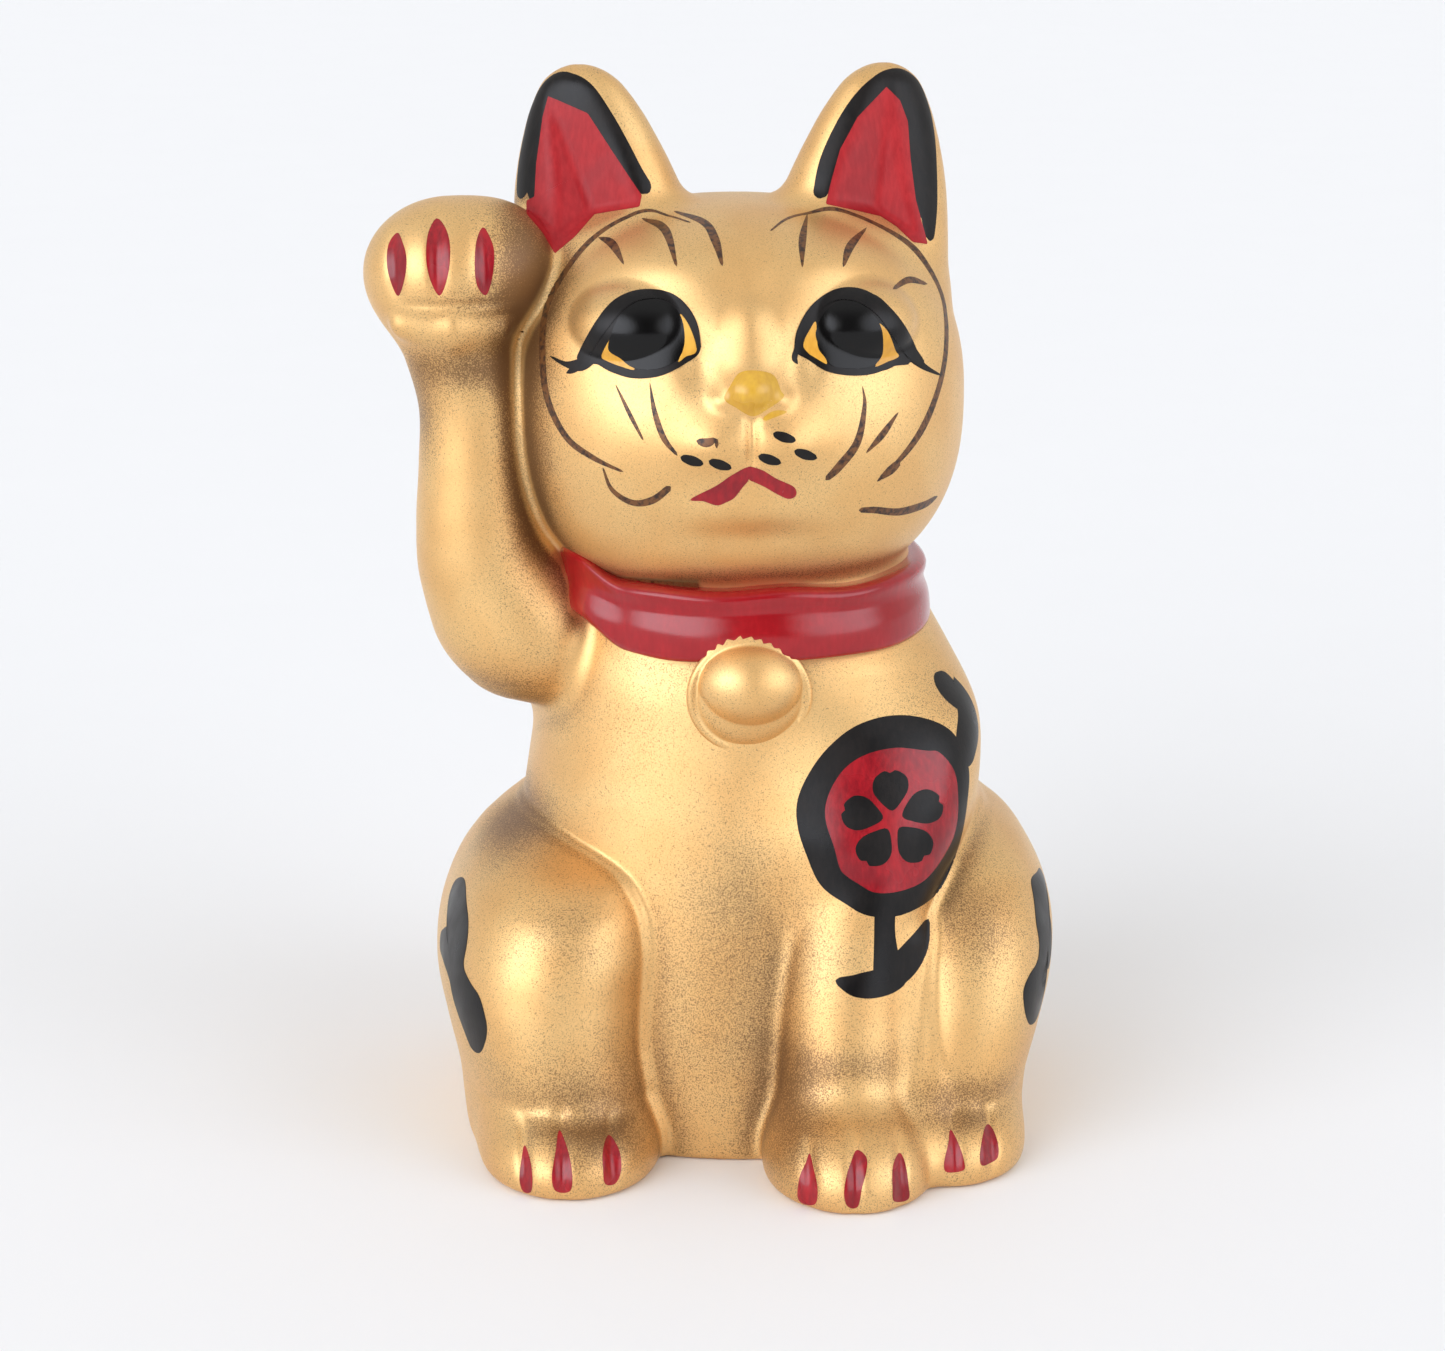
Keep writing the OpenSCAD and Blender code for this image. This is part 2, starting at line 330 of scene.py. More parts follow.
LEG_R = columns([
    (-6, 24, -60, 34, 43.5),
    (4, 25, -60, 38, 43.8),
    (16, 25.5, -59, 44, 44.7),
    (28, 26, -59, 50, 47),
    (40, 27.4, -58.5, 52, 47.6),
    (52, 27, -56.5, 50, 46),
    (62, 24, -51, 44, 44.2),
    (69, 19.8, -41, 35, 42.4),
    (75, 12.5, -24, 20, 40.8),
    (79, 5, -10, 10, 41),
])
LEG_L = columns([
    (-6, 20.5, -60, 30, 43.8),
    (4, 21, -60, 34, 44),
    (16, 22, -59, 44, 44.7),
    (28, 23.5, -58.5, 50, 46.6),
    (40, 25, -56.5, 52, 48),
    (52, 25, -52, 50, 48),
    (62, 22.5, -44.5, 44, 47),
    (70, 18, -33, 35, 45.5),
    (76, 10.5, -16, 20, 44),
    (80, 4, -6, 10, 43),
])


def haunch(p, s):
    """A folded hind leg: s is 1 for the cat's left and -1 for its right, here and for the foot."""
    q = [p[0] * s, p[1], p[2]]
    return column(q, LEG_L if s > 0 else LEG_R, 2.3, high=76.5, cap=10) * 0.85


def hind_foot(p, s):
    q = [p[0] * s, p[1], p[2]]
    return ball(q, (43.6 - 0.8 * s, -44, 4), (20.4 - 0.6 * s, 26.5 - 0.8 * s, 15))


FORELEG = columns([
    (-6, 16.5, -67, -30, 19.5),
    (10, 16.4, -66.5, -28, 19.5),
    (24, 16, -65, -26, 19.5),
    (40, 16.2, -61.5, -22, 20),
    (56, 17.5, -57.5, -18, 22),
    (72, 20, -54, -12, 25.5),
    (88, 22, -49.5, -6, 28.5),
    (102, 21, -43, 0, 29.5),
    (114, 17, -35, 2, 28),
])


def foreleg(p):
    return column(p, FORELEG, 2.15, high=108, cap=14)


def fore_foot(p):
    return ball(p, (19.8, -58, 4), (19.8, 25.5, 16.5))


# Claws: place across the foot, and lowest and highest point of the slot
CLAWS_FORE = ((9, 1, 14.5), (18.7, 0, 16.5), (29.3, 1, 15))
CLAWS_LEFT = ((43, 2, 17), (52, 2, 16.5))
CLAWS_RIGHT = ((-35.5, 2, 16), (-46.8, 1, 18.5), (-55.3, 2, 15.5))
CLAWS_PAW = ((-80.5, 200, 216), (-71.3, 201, 219.5), (-61, 201, 217.5))


def slots(x, y, z, claws, width=1.5, depth=0.9):
    """How deep the claws' slots are cut."""
    d = 0
    for at, low, high in claws:
        mid, half = 0.5 * (low + high), 0.5 * (high - low)
        d = d + depth * np.exp(-(((x - at) / width) ** 2) - ((z - mid) / half) ** 4)
    return d * step(-30, -40, y)


def tail(p):
    d = rod(p, (2, 61, 10), (6, 66, 24), 9.2, 9)
    d = smin(d, rod(p, (6, 66, 24), (20, 65, 45), 9, 7.2), 4)
    return d


BAND = columns([
    (108, 41.5, -43.5, 44, 0.5),
    (118, 43.3, -44.8, 45.5, 0.2),
    (126, 43.3, -44.6, 45, 0),
    (132, 42.6, -43.6, 44, -0.4),
    (142, 41.5, -42.5, 43, -0.6),
])


def collar(p):
    x, y, z = p
    front = step(20, -38, y)
    end = step(-30, -43, x) * step(2, -18, y)    # by the raised arm
    mid = 127.4 + 0.3 * np.sin(x * 0.16 + 1) * front + 3 * end
    half = 8.2 + 0.25 * np.sin(x * 0.23) + 3 * end
    top, dip = z - mid - half, z - mid
    d = column(p, BAND, 2.2) - 3 * end
    d = d - 0.6 * np.exp(-(((top + 1.8) / 1.9) ** 2)) + 0.6 * np.exp(-(((dip - 2.4) / 2.6) ** 2)) - 0.2
    d = smax(d, top, 2.2)
    return smax(d, -dip - half + 7 * end, 2.2)


BELL = middle("bell") + np.array([-0.1, 5.95, -0.8])    # its ball's middle, partly sunk in the chest


def bell(p):
    """A ball with a thin rim round it, and a dome over its upper part."""
    q = [p[i] - BELL[i] for i in range(3)]
    d = ball(q, (0.0, 0.0, 0.0), (13.0, 6.6, 12.4))
    d = smin(d, ball(q, (0.2, 0.2, 2.7), (12.3, 10.6, 10.2)), 0.4)
    rim = length(length(q[0], q[2] * 1.04) - 13.2, q[1] + 1.6) - 1.15
    return smin(d, rim, 0.6)


def combine(p, f):
    """The whole casting, from the distances f of its forms."""
    x, y, z = p
    low = step(80.0, 52.0, z)
    behind = step(10.0, 45.0, y)
    shoulder = np.exp(-(((z - 118.0) / 12.0) ** 2)) * step(-30.0, -44.0, x)
    fore = smin(f["foreleg"], f["forefoot"], 6.0)
    toes = slots(x, y, z, CLAWS_FORE) * step(-66.0, -72.0, y)
    ankle = 0.28 * np.exp(-(((z - 16.0 - 0.8 * np.sin(x * 0.2)) / 2.0) ** 2)) * step(-30.0, -48.0, y)
    corner = np.exp(-(((x - 36.0) / 8.0) ** 2) - ((z - 17.0) / 9.0) ** 2)
    d = smin(f["trunk"], fore + toes, 16.0 - 13.4 * low)
    d = smin(d, f["web"], 5.0)    # between foreleg and haunch
    for s in ("l", "r"):
        leg = smin(f["haunch_" + s], f["foot_" + s], 4.0) + ankle
        leg = leg + slots(x, y, z, CLAWS_LEFT if s == "l" else CLAWS_RIGHT)
        d = seam(d, leg, 3.0 + 16.0 * behind + 4.0 * corner, 0.3 * (1.0 - behind) * (1.0 - corner))
    d = smin(d, f["tail"], 2.5)
    limb = smin(f["arm"], f["paw"], 5.0) + slots(x, y - 14.0, z, CLAWS_PAW, 1.8, 0.9)
    d = smin(d, limb, 3.0 + 8.0 * step(-10.0, 12.0, y) + 3.0 * shoulder)
    hd = smin(smin(f["head"], f["ear_l"], 5.0), f["ear_r"], 5.0)
    d = seam(d, hd, 2.0, 0.22 * step(-36.0, -44.0, x), 1.3)
    d = np.minimum(d, f["collar"] + 1.2)
    d = smax(d, -z, GROUND_ROUND)
    return d


def web(p):
    """What fills the gap between the foreleg and the left hind leg."""
    d = rod(p, (34.0, -47.0, 52.0), (36.5, -52.0, 18.0), 5.5, 7.5)
    return smin(d, rod(p, (36.5, -52.0, 18.0), (37.5, -56.0, 2.0), 7.5, 9.0), 3.0)


def fenced(form, low, high):
    """The form, worked out only inside the box outside which it is never the nearest."""
    def inside(p):
        keep = np.logical_and.reduce([(c > a) & (c < b) for c, a, b in zip(p, low, high)])
        d = np.full(keep.shape, FAR, np.float32)
        if keep.any():
            d[keep] = form([c[keep] for c in p])
        return d
    return inside


FORMS = {
    "trunk": fenced(trunk, (-80, -75, -20), (84, 95, 165)),
    "head": fenced(head, (-84, -85, 100), (80, 78, 245)),
    "ear_l": fenced(lambda p: ear(p, 1), (-12, -50, 190), (66, 44, 265)),
    "ear_r": fenced(lambda p: ear(p, -1), (-72, -50, 190), (6, 44, 265)),
    "arm": fenced(arm, (-98, -50, 80), (-14, 34, 225)),
    "paw": fenced(paw, (-108, -54, 168), (-22, 26, 242)),
    "haunch_l": fenced(lambda p: haunch(p, 1), (2, -88, -25), (96, 80, 100)),
    "haunch_r": fenced(lambda p: haunch(p, -1), (-96, -88, -25), (-2, 80, 100)),
    "foot_l": fenced(lambda p: hind_foot(p, 1), (4, -92, -25), (86, 4, 42)),
    "foot_r": fenced(lambda p: hind_foot(p, -1), (-88, -92, -25), (-4, 4, 42)),
    "foreleg": fenced(foreleg, (-18, -92, -25), (74, 24, 132)),
    "forefoot": fenced(fore_foot, (-20, -106, -25), (62, -12, 44)),
    "tail": fenced(tail, (-22, 36, -14), (50, 96, 72)),
    "web": fenced(web, (16, -75, -20), (56, -28, 74)),
    "collar": fenced(collar, (-60, -62, 104), (60, 66, 150)),
}
FENCED_BELL = fenced(bell, (-30, -70, 86), (26, -20, 142))
SLAB_HIGH = extent("base_plate")[1]
SEAT_GAP = 0.03    # between the slab and its seat
SLAB_R, SLAB_T, SLAB_Y = SLAB_HIGH[0] + SEAT_GAP, SLAB_HIGH[2], middle("base_plate")[1]
CAVITY_R, CAVITY_TOP = 32.0, 60.0
PITCH = 0.82    # size of the casting's quads
MARGIN = 4.0    # how far the lattice reaches past the figure
THREADS, CHUNK = 4, 40000    # points are worked out in chunks, side by side


def hollow_base(p):
    """The slab's seat and the space of the casting above it."""
    x, y, z = p
    r = length(x, y - SLAB_Y)
    seat = np.maximum(r - SLAB_R, z - SLAB_T)
    space = smax(smax(r - CAVITY_R, z - CAVITY_TOP, 20.0), -z, 1.0)
    return np.minimum(seat, space)


def hidden_base(points):
    """Where a point lies on the hollow underneath."""
    return hollow_base(list(points.T)) < 1.0


def casting(p):
    """The painted casting, open underneath."""
    return np.maximum(combine(p, {name: form(p) for name, form in FORMS.items()}), -hollow_base(p))


def whole(p):
    """What is seen from outside: casting, collar and bell."""
    forms = {name: form(p) for name, form in FORMS.items()}
    return smin(np.minimum(combine(p, forms), forms["collar"]), FENCED_BELL(p), 0.8)


def collar_ring(p):
    """The band alone, hollow where the neck fills it."""
    band = collar(p)
    return smax(band, -(band + BAND_WALL), 0.4)


# ---- from distance field to mesh
def distance(points, form=None):
    """Signed distance of (n, 3) points to the form, worked out in parallel."""
    form = form or whole
    points = np.asarray(points, np.float32)
    chunks = np.array_split(points, max(1, len(points) // CHUNK))
    with ThreadPoolExecutor(THREADS) as pool:
        found = list(pool.map(lambda c: form([c[:, 0], c[:, 1], c[:, 2]]), chunks))
    return np.concatenate(found).astype(np.float32)


CORNERS = np.array([[1, -1, -1], [-1, -1, 1], [-1, 1, -1], [1, 1, 1]], np.float32)


def gradient(points, form=None, reach=0.12):
    """Outward direction of the form, not yet of unit length."""
    total = 0.0
    for corner in CORNERS:
        total = total + distance(points + reach * corner, form)[:, None] * corner
    return total / (4.0 * reach)


def unit(v):
    return v / np.maximum(np.linalg.norm(v, axis=1, keepdims=True), 1e-9)


def settle(points, form=None, rounds=3, most=0.6):
    """Moves points straight on to the surface of the form."""
    points = np.asarray(points, np.float32)
    for _ in range(rounds):
        g = gradient(points, form)
        scale = distance(points, form) / np.maximum((g * g).sum(1), 0.05)
        points = points - g * np.clip(scale, -most, most)[:, None]
    return points


def lattice_index(count):
    """The three whole numbers of every place in a lattice of that size."""
    return np.stack(np.meshgrid(*[np.arange(c) for c in count], indexing="ij"), -1).reshape(-1, 3)


def surface(form, low, high, pitch, coarse=5):
    """Quads over the form's surface inside a box, from a lattice that is fine only near it."""
    low, high = np.asarray(low, float), np.asarray(high, float)
    block = pitch * coarse
    count = np.ceil((high - low) / block).astype(int)
    index = lattice_index(count)
    rough = distance(low + (index + 0.5) * block, form)
    close = np.abs(rough) < block * 1.15 + 1.0
    lattice = np.kron(rough.reshape(count), np.ones((coarse,) * 3, np.float32))
    inside = lattice_index([coarse] * 3)
    fine = (index[close][:, None, :] * coarse + inside[None]).reshape(-1, 3)
    lattice[fine[:, 0], fine[:, 1], fine[:, 2]] = distance(low + fine * pitch, form)
    grid = openvdb.FloatGrid()
    grid.copyFromArray(np.ascontiguousarray(lattice, np.float32))
    points, quads = grid.convertToQuads()
    points = settle(points * pitch + low, form, most=0.5 * pitch)
    a, b, c = (points[quads[:, i]] for i in range(3))
    volume = (a * np.cross(b, c)).sum()
    return points, quads if volume > 0 else quads[:, ::-1]


def make_piece(name, points, faces, material, nodes, normals, marks):
    """A mesh object of the figure, given in millimetres."""
    mesh = bpy.data.meshes.new(name)
    mesh.from_pydata((np.asarray(points, float) * MM).tolist(), [], faces)
    mesh.shade_smooth()
    mesh.normals_split_custom_set_from_vertices(np.asarray(normals, float).tolist())
    for key, values in marks.items():
        layer = mesh.attributes.new(key, "FLOAT", "POINT")
        layer.data.foreach_set("value", np.asarray(values, np.float32))
    mesh.materials.append(material)
    obj = bpy.data.objects.new(name, mesh)
    bpy.context.scene.collection.objects.link(obj)
    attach(obj, BODY)
    if nodes:
        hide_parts(*nodes)


def rims(quads):
    """Closed loops of vertices round the holes of an open sheet, each in the order that closes it."""
    edges = set(zip(quads.ravel().tolist(), np.roll(quads, -1, 1).ravel().tolist()))
    after = {}
    for u, v in sorted(edges):
        if (v, u) not in edges:
            after.setdefault(v, []).append(u)
    loops = []
    while after:
        start = min(after)
        loop, here = [start], start
        while True:
            following = after[here]
            there = following.pop()
            if not following:
                del after[here]
            if there == start:
                break
            loop.append(there)
            here = there
        loops.append(loop)
    return loops


# Rings of a cap: how far each one is from the rim to the middle, and how deep inside the form
CAP_RINGS = ((0.03, 0.5), (0.12, 0.8), (0.3, 0.8), (0.55, 0.8), (0.8, 0.8))


def capped(points, quads, form):
    """Closes every hole of a sheet with a cap that stays inside the form, so that the piece is a solid."""
    faces = quads.tolist()
    points = [np.asarray(points, np.float32)]
    count = len(points[0])
    for loop in rims(quads):
        rim = points[0][loop]
        hub = rim.mean(0)
        n, ring = len(loop), list(loop)
        for share, depth in CAP_RINGS:
            inner = rim + (hub - rim) * share
            for _ in range(3):
                outside = distance(inner, form) + depth
                inner = inner - unit(gradient(inner, form)) * np.maximum(outside, 0.0)[:, None]
            fresh = list(range(count, count + n))
            faces += [[ring[i], ring[(i + 1) % n], fresh[(i + 1) % n], fresh[i]] for i in range(n)]
            points.append(inner)
            ring, count = fresh, count + n
        points.append(points[-1].mean(0)[None])
        faces += [[ring[i], ring[(i + 1) % n], count] for i in range(n)]
        count += 1
    return np.vstack(points), faces


def hollows(points, normals, form, reach):
    """0 where the surface is flat or bulges, up to 1 deep in a crease of about that reach."""
    return np.clip(1.0 - distance(points + normals * reach, form) / reach, 0.0, 1.0)


def settled_owner(owner, quads, kinds, rounds=6):
    """Smooths the borders between the casting's parts on the mesh."""
    for _ in range(rounds):
        votes = np.zeros((len(owner), kinds), np.int32)
        face_votes = np.zeros((len(quads), kinds), np.int32)
        for i in range(4):
            np.add.at(face_votes, (np.arange(len(quads)), owner[quads[:, i]]), 1)
        for i in range(4):
            np.add.at(votes, quads[:, i], face_votes)
        owner = votes.argmax(1)
    return owner


# ---- the casting, in its parts
CASTINGS = {
    "torso": ("torso_shell", ("trunk",)),
    "head": ("head_shell", ("head",)),
    "ear_left": ("left_ear", ("ear_l",)),
    "ear_right": ("right_ear", ("ear_r",)),
    "arm_raised": ("raised_arm", ("arm", "paw")),
    "foreleg": ("left_foreleg", ("foreleg", "forefoot")),
    "haunch_left": ("left_haunch", ("haunch_l", "foot_l")),
    "haunch_right": ("right_haunch", ("haunch_r", "foot_r")),
    "tail_curl": ("tail", ("tail",)),
}

# Brown spots of airbrush, and in the gap by the paw and at the top of the right haunch painted shade as well:
# middle, reach and strength of each spot
SPOTS = (
    ((-52, -22, 207), (8, 18, 15), 0.9), ((-65, -28, 185), (17, 16, 6), 0.6),
    ((-64, -32, 200), (12, 10, 4), 0.3), ((-51, -24, 164), (7, 16, 32), 0.7),
    ((-76, -16, 174), (6, 14, 12), 0.5), ((-60, -20, 106), (16, 18, 9), 0.5),
    ((-30, -40, 104), (14, 14, 16), 0.2), ((0, -46, 52), (22, 14, 34), 0.35),
    ((-57, -10, 74), (14, 24, 9), 0.75), ((-45, -50, 56), (11, 12, 9), 0.3),
    ((-40, -58, 24), (24, 24, 9), 0.25), ((6, -64, 18), (9, 22, 14), 0.55),
    ((20, -64, 29), (18, 16, 4), 0.25), ((-36, -64, 14), (14, 20, 8), 0.5),
    ((46, -66, 18), (16, 20, 6), 0.6), ((46, -40, 108), (14, 20, 12), 0.3),
    ((50, -48, 58), (12, 14, 12), 0.4),
)


def airbrush_and_shade(points):
    """How much brown each point gets: the airbrush and the painted shade of the spots, and more towards the
    bottom.
    """
    haze_and_shade = 0.03 + 0.11 * step(100.0, 30.0, points[:, 2])
    for spot, reach, strength in SPOTS:
        haze_and_shade = haze_and_shade + strength * np.exp(-(((points - spot) / reach) ** 2).sum(1))
    return haze_and_shade


def paint_marks(points, normals, form, fine, wide):
    """What the gold paint's look depends on: creases and valleys of two sizes, for painted highlights along
    the crease bottoms and painted shade in the hollows, and the airbrush with its painted shade.
    """
    return {"crease": hollows(points, normals, form, fine), "valley": hollows(points, normals, form, wide),
            "haze_and_shade": airbrush_and_shade(points)}


def make_casting(material):
    """The casting's surface, shared out to the parts that its places are nearest to, each one a solid."""
    points, quads = surface(casting, np.array(CAD_LOW) / MM - MARGIN, np.array(CAD_HIGH) / MM + MARGIN, PITCH)
    normals = unit(gradient(points, casting))
    marks = paint_marks(points, normals, casting, 2.0, 8.0)
    near = []
    for _, forms in CASTINGS.values():
        near.append(distance(points, lambda p, forms=forms: np.minimum.reduce([FORMS[f](p) for f in forms])))
    near[0][hidden_base(points)] = -FAR    # the hollow underneath belongs to the torso
    owner = settled_owner(np.argmin(near, axis=0), quads, len(CASTINGS))
    face_owner = np.sort(owner[quads], axis=1)[:, 1]
    for i, (name, (node, _)) in enumerate(CASTINGS.items()):
        used, packed = np.unique(quads[face_owner == i], return_inverse=True)
        solid, faces = capped(points[used], packed.reshape(-1, 4), casting)
        spare = len(solid) - len(used)
        pad = lambda a: np.concatenate([a[used], np.zeros((spare,) + a.shape[1:], a.dtype)])
        around = pad(normals)
        around[len(used):, 2] = 1.0
        own = {key: pad(values) for key, values in marks.items()}
        make_piece(name, solid, faces, material, (node,), around, own)


def make_solid(name, form, low, high, pitch, material, node):
    """A piece that is one closed form of its own."""
    points, quads = surface(form, low, high, pitch)
    normals = unit(gradient(points, form))
    marks = paint_marks(points, normals, whole, 1.5, 5.0)
    make_piece(name, points, quads.tolist(), material, (node,), normals, marks)


# ---- materials
def linear(*rgb):
    """Linear colour of an 8-bit display colour."""
    c = np.array(rgb, float) / 255.0
    return tuple(np.where(c < 0.04045, c / 12.92, ((c + 0.055) / 1.055) ** 2.4)) + (1.0,)


class Nodes:
    """Small helper to build a tree of nodes."""

    def __init__(self, tree):
        self.tree = tree

    def feed(self, socket, value):
        """Sets an input to a value, or links it to the output that works the value out."""
        if isinstance(value, bpy.types.NodeSocket):
            self.tree.links.new(value, socket)
        else:
            socket.default_value = value

    def add(self, kind, inputs=(), **settings):
        node = self.tree.nodes.new(kind)
        for key, value in settings.items():
            setattr(node, key, value)
        for key, value in dict(inputs).items():
            self.feed(node.inputs[key], value)
        return node

    def ramp(self, value, low, high, to_low=0.0, to_high=1.0, kind="SMOOTHSTEP"):
        inputs = {0: value, 1: low, 2: high, 3: to_low, 4: to_high}
        return self.add("ShaderNodeMapRange", inputs, interpolation_type=kind).outputs[0]

    def plus(self, a, b):
        return self.add("ShaderNodeMath", {0: a, 1: b}, operation="ADD").outputs[0]

    def minus(self, a, b):
        return self.add("ShaderNodeMath", {0: a, 1: b}, operation="SUBTRACT").outputs[0]

    def times(self, a, b):
        return self.add("ShaderNodeMath", {0: a, 1: b}, operation="MULTIPLY").outputs[0]

    def mix(self, factor, a, b):
        return self.add("ShaderNodeMix", {0: factor, 6: a, 7: b}, data_type="RGBA").outputs[2]


class Look(Nodes):
    """A material around one Principled shader."""

    def __init__(self, name):
        self.material = bpy.data.materials.new(name)
        self.material.use_nodes = True
        super().__init__(self.material.node_tree)
        self.shader = self.tree.nodes["Principled BSDF"]
        self.place = self.add("ShaderNodeTexCoord").outputs["Object"]

    def noise(self, size, detail=2.0, rough=0.5, place=None):
        """Noise with grains of that size in millimetres."""
        inputs = {"Vector": place or self.place, "Scale": 1000.0 / size, "Detail": detail, "Roughness": rough}
        return self.add("ShaderNodeTexNoise", inputs).outputs["Fac"]

    def mark(self, name):
        return self.add("ShaderNodeAttribute", attribute_name=name).outputs["Fac"]

    def bump(self, height, distance):
        """Fine relief of that height in millimetres."""
        node = self.add("ShaderNodeBump", {"Height": height, "Distance": distance * MM, "Strength": 1.0})
        self.feed(self.shader.inputs["Normal"], node.outputs["Normal"])

    def surface(self, **values):
        for key, value in values.items():
            self.feed(self.shader.inputs[key.replace("_", " ")], value)
        return self.material


def gold_paint():
    """Sprayed gold with a fine grain; browner in the hollows and low down, from the brown airbrush together
    with painted shade, and with a painted highlight of bright gold along the bottoms of the creases.
    """
    n = Look("gold_paint")
    grain, fleck = n.noise(0.34, 3.0, 0.7), n.noise(0.27, 2.0, 0.6)
    cloud = n.noise(16.0, 2.0, 0.5)
    crease, valley, haze_and_shade = n.mark("crease"), n.mark("valley"), n.mark("haze_and_shade")
    # Brown airbrush and painted shade: brown in the wide hollows, as painted shade along with the airbrush
    # there, where the airbrush spots and the low-down brown lie, and in faint random clouds.
    brown_and_shade = n.plus(n.plus(n.times(valley, 0.55), haze_and_shade), n.ramp(cloud, 0.4, 0.8, 0.0, 0.12))
    # The bottoms of the creases are kept clear of brown, for a painted highlight along them.
    brown_and_shade = n.minus(brown_and_shade, n.times(crease, 0.9))
    tone = n.mix(n.ramp(cloud, 0.3, 0.7), linear(232, 185, 118), linear(238, 197, 132))
    tone = n.mix(n.ramp(brown_and_shade, 0.1, 1.0, 0.0, 0.66), tone, linear(150, 107, 62))
    tone = n.mix(n.ramp(fleck, 0.3, 0.7, 0.0, 0.22), tone, linear(156, 112, 64))
    speck = n.ramp(n.plus(grain, n.times(brown_and_shade, 0.3)), 0.57, 0.74)
    tone = n.mix(n.times(speck, 0.74), tone, linear(98, 65, 38))
    # Painted highlight: bright gold along the bottoms of the creases.
    tone = n.mix(n.ramp(crease, 0.25, 0.65, 0.0, 0.4), tone, linear(255, 220, 154))
    n.bump(n.plus(fleck, n.times(n.noise(1.6, 2.0), 0.5)), 0.03)
    rough = n.plus(n.ramp(grain, 0.3, 0.75, 0.41, 0.53), n.times(haze_and_shade, 0.18))
    return n.surface(Base_Color=tone, Metallic=0.86, Roughness=rough, Coat_Weight=0.45, Coat_Roughness=0.38)


def enamel(name, colour, dark, rough=0.22, coat=0.4, spread=0.35, shine=0.4):
    """Brushed-on enamel: the coat pools and thins a little, and shows faint brush lines."""
    n = Look(name)
    stretch = n.add("ShaderNodeMapping", {"Vector": n.place, "Scale": (1.0, 1.0, 0.3)}).outputs[0]
    brush, pool = n.noise(1.1, 3.0, 0.6, place=stretch), n.noise(11.0, 2.0)
    covered = n.ramp(n.plus(n.times(brush, 0.5), n.times(pool, 0.5)), 0.35, 0.35 + spread)
    n.bump(n.plus(brush, n.noise(0.35, 2.0)), 0.02)
    roughness = n.ramp(pool, 0.3, 0.7, rough * 0.8, rough * 1.25)
    return n.surface(Base_Color=n.mix(covered, dark, colour), Roughness=roughness,
                     Specular_IOR_Level=shine, Coat_Weight=coat, Coat_Roughness=0.12)


def brown_line():
    """Thin brown paint, a little of the gold showing through."""
    n = Look("brown_line")
    thin = n.noise(1.3, 3.0, 0.6)
    tone = n.mix(n.ramp(thin, 0.35, 0.62), linear(44, 26, 16), linear(112, 70, 34))
    n.bump(thin, 0.015)
    return n.surface(Base_Color=tone, Roughness=0.42, Metallic=0.25, Coat_Weight=0.1, Coat_Roughness=0.2)


def bare_clay():
    """Unglazed clay, under the figure."""
    n = Look("bare_clay")
    body, grit = n.noise(7.0, 3.0), n.noise(0.5, 3.0, 0.7)
    tone = n.mix(n.ramp(body, 0.3, 0.7), linear(226, 208, 184), linear(206, 184, 156))
    tone = n.mix(n.ramp(grit, 0.6, 0.8, 0.0, 0.5), tone, linear(150, 122, 96))
    n.bump(grit, 0.08)
    return n.surface(Base_Color=tone, Roughness=0.82, Specular_IOR_Level=0.3)


def rubber():
    """Pale soft rubber, for the plug."""
    n = Look("rubber")
    body, grit = n.noise(4.0, 2.0), n.noise(0.4, 2.0)
    tone = n.mix(n.ramp(body, 0.3, 0.7), linear(226, 222, 210), linear(205, 200, 188))
    n.bump(grit, 0.02)
    return n.surface(Base_Color=tone, Roughness=0.55, Specular_IOR_Level=0.4)


GOLD = gold_paint()
RED = enamel("red_enamel", linear(164, 22, 32), linear(124, 12, 24), rough=0.24, coat=0.28, shine=0.3)
BAND_RED = enamel("band_enamel", linear(184, 25, 32), linear(142, 14, 22), 0.17, 0.3, 0.7, 0.34)
EAR_RED = enamel("ear_enamel", linear(172, 38, 42), linear(148, 26, 32), rough=0.42, coat=0.0, shine=0.22)
BLACK = enamel("black_enamel", linear(26, 21, 19), linear(12, 10, 10), rough=0.34, coat=0.0, shine=0.24)
YELLOW = enamel("yellow_enamel", linear(226, 170, 62), linear(206, 146, 44), rough=0.35, coat=0.1)
GLOSS = enamel("eye_gloss", linear(14, 13, 13), linear(7, 6, 6), 0.17, 0.14, 0.8, 0.2)
OCHRE = enamel("ochre_enamel", linear(214, 168, 52), linear(196, 146, 44), rough=0.3, coat=0.3)
BROWN = brown_line()
for node, finish in (("base_plate", bare_clay()), ("base_stopper", rubber())):
    for material_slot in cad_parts[node].material_slots:
        material_slot.material = finish


# ---- paint laid on the surface
# Marks are (x, z) places on an upright plane through the chest, and the paint lies where the
# line of sight through a mark meets the figure.
MARK_Y = -50.0
FLANK_X = 110.0    # an upright plane beside the figure, for marks on its sides
LIFT, TUCK = 0.1, 0.06    # how high paint stands, and how deep its edge goes in
DEPTH = 0.4    # the paint's thickness, most of it inside the figure
# Across a stroke: places from edge to edge, each with its height
STRIP = [(s, LIFT * (1.0 - s**8) - TUCK * s**8)
         for s in (-1, -0.93, -0.8, -0.55, -0.25, 0.0, 0.25, 0.55, 0.8, 0.93, 1)]
STEPS, REACH, TOUCH = 60, 260.0, 0.02    # of a line of sight: most steps, most length, and how near is a hit


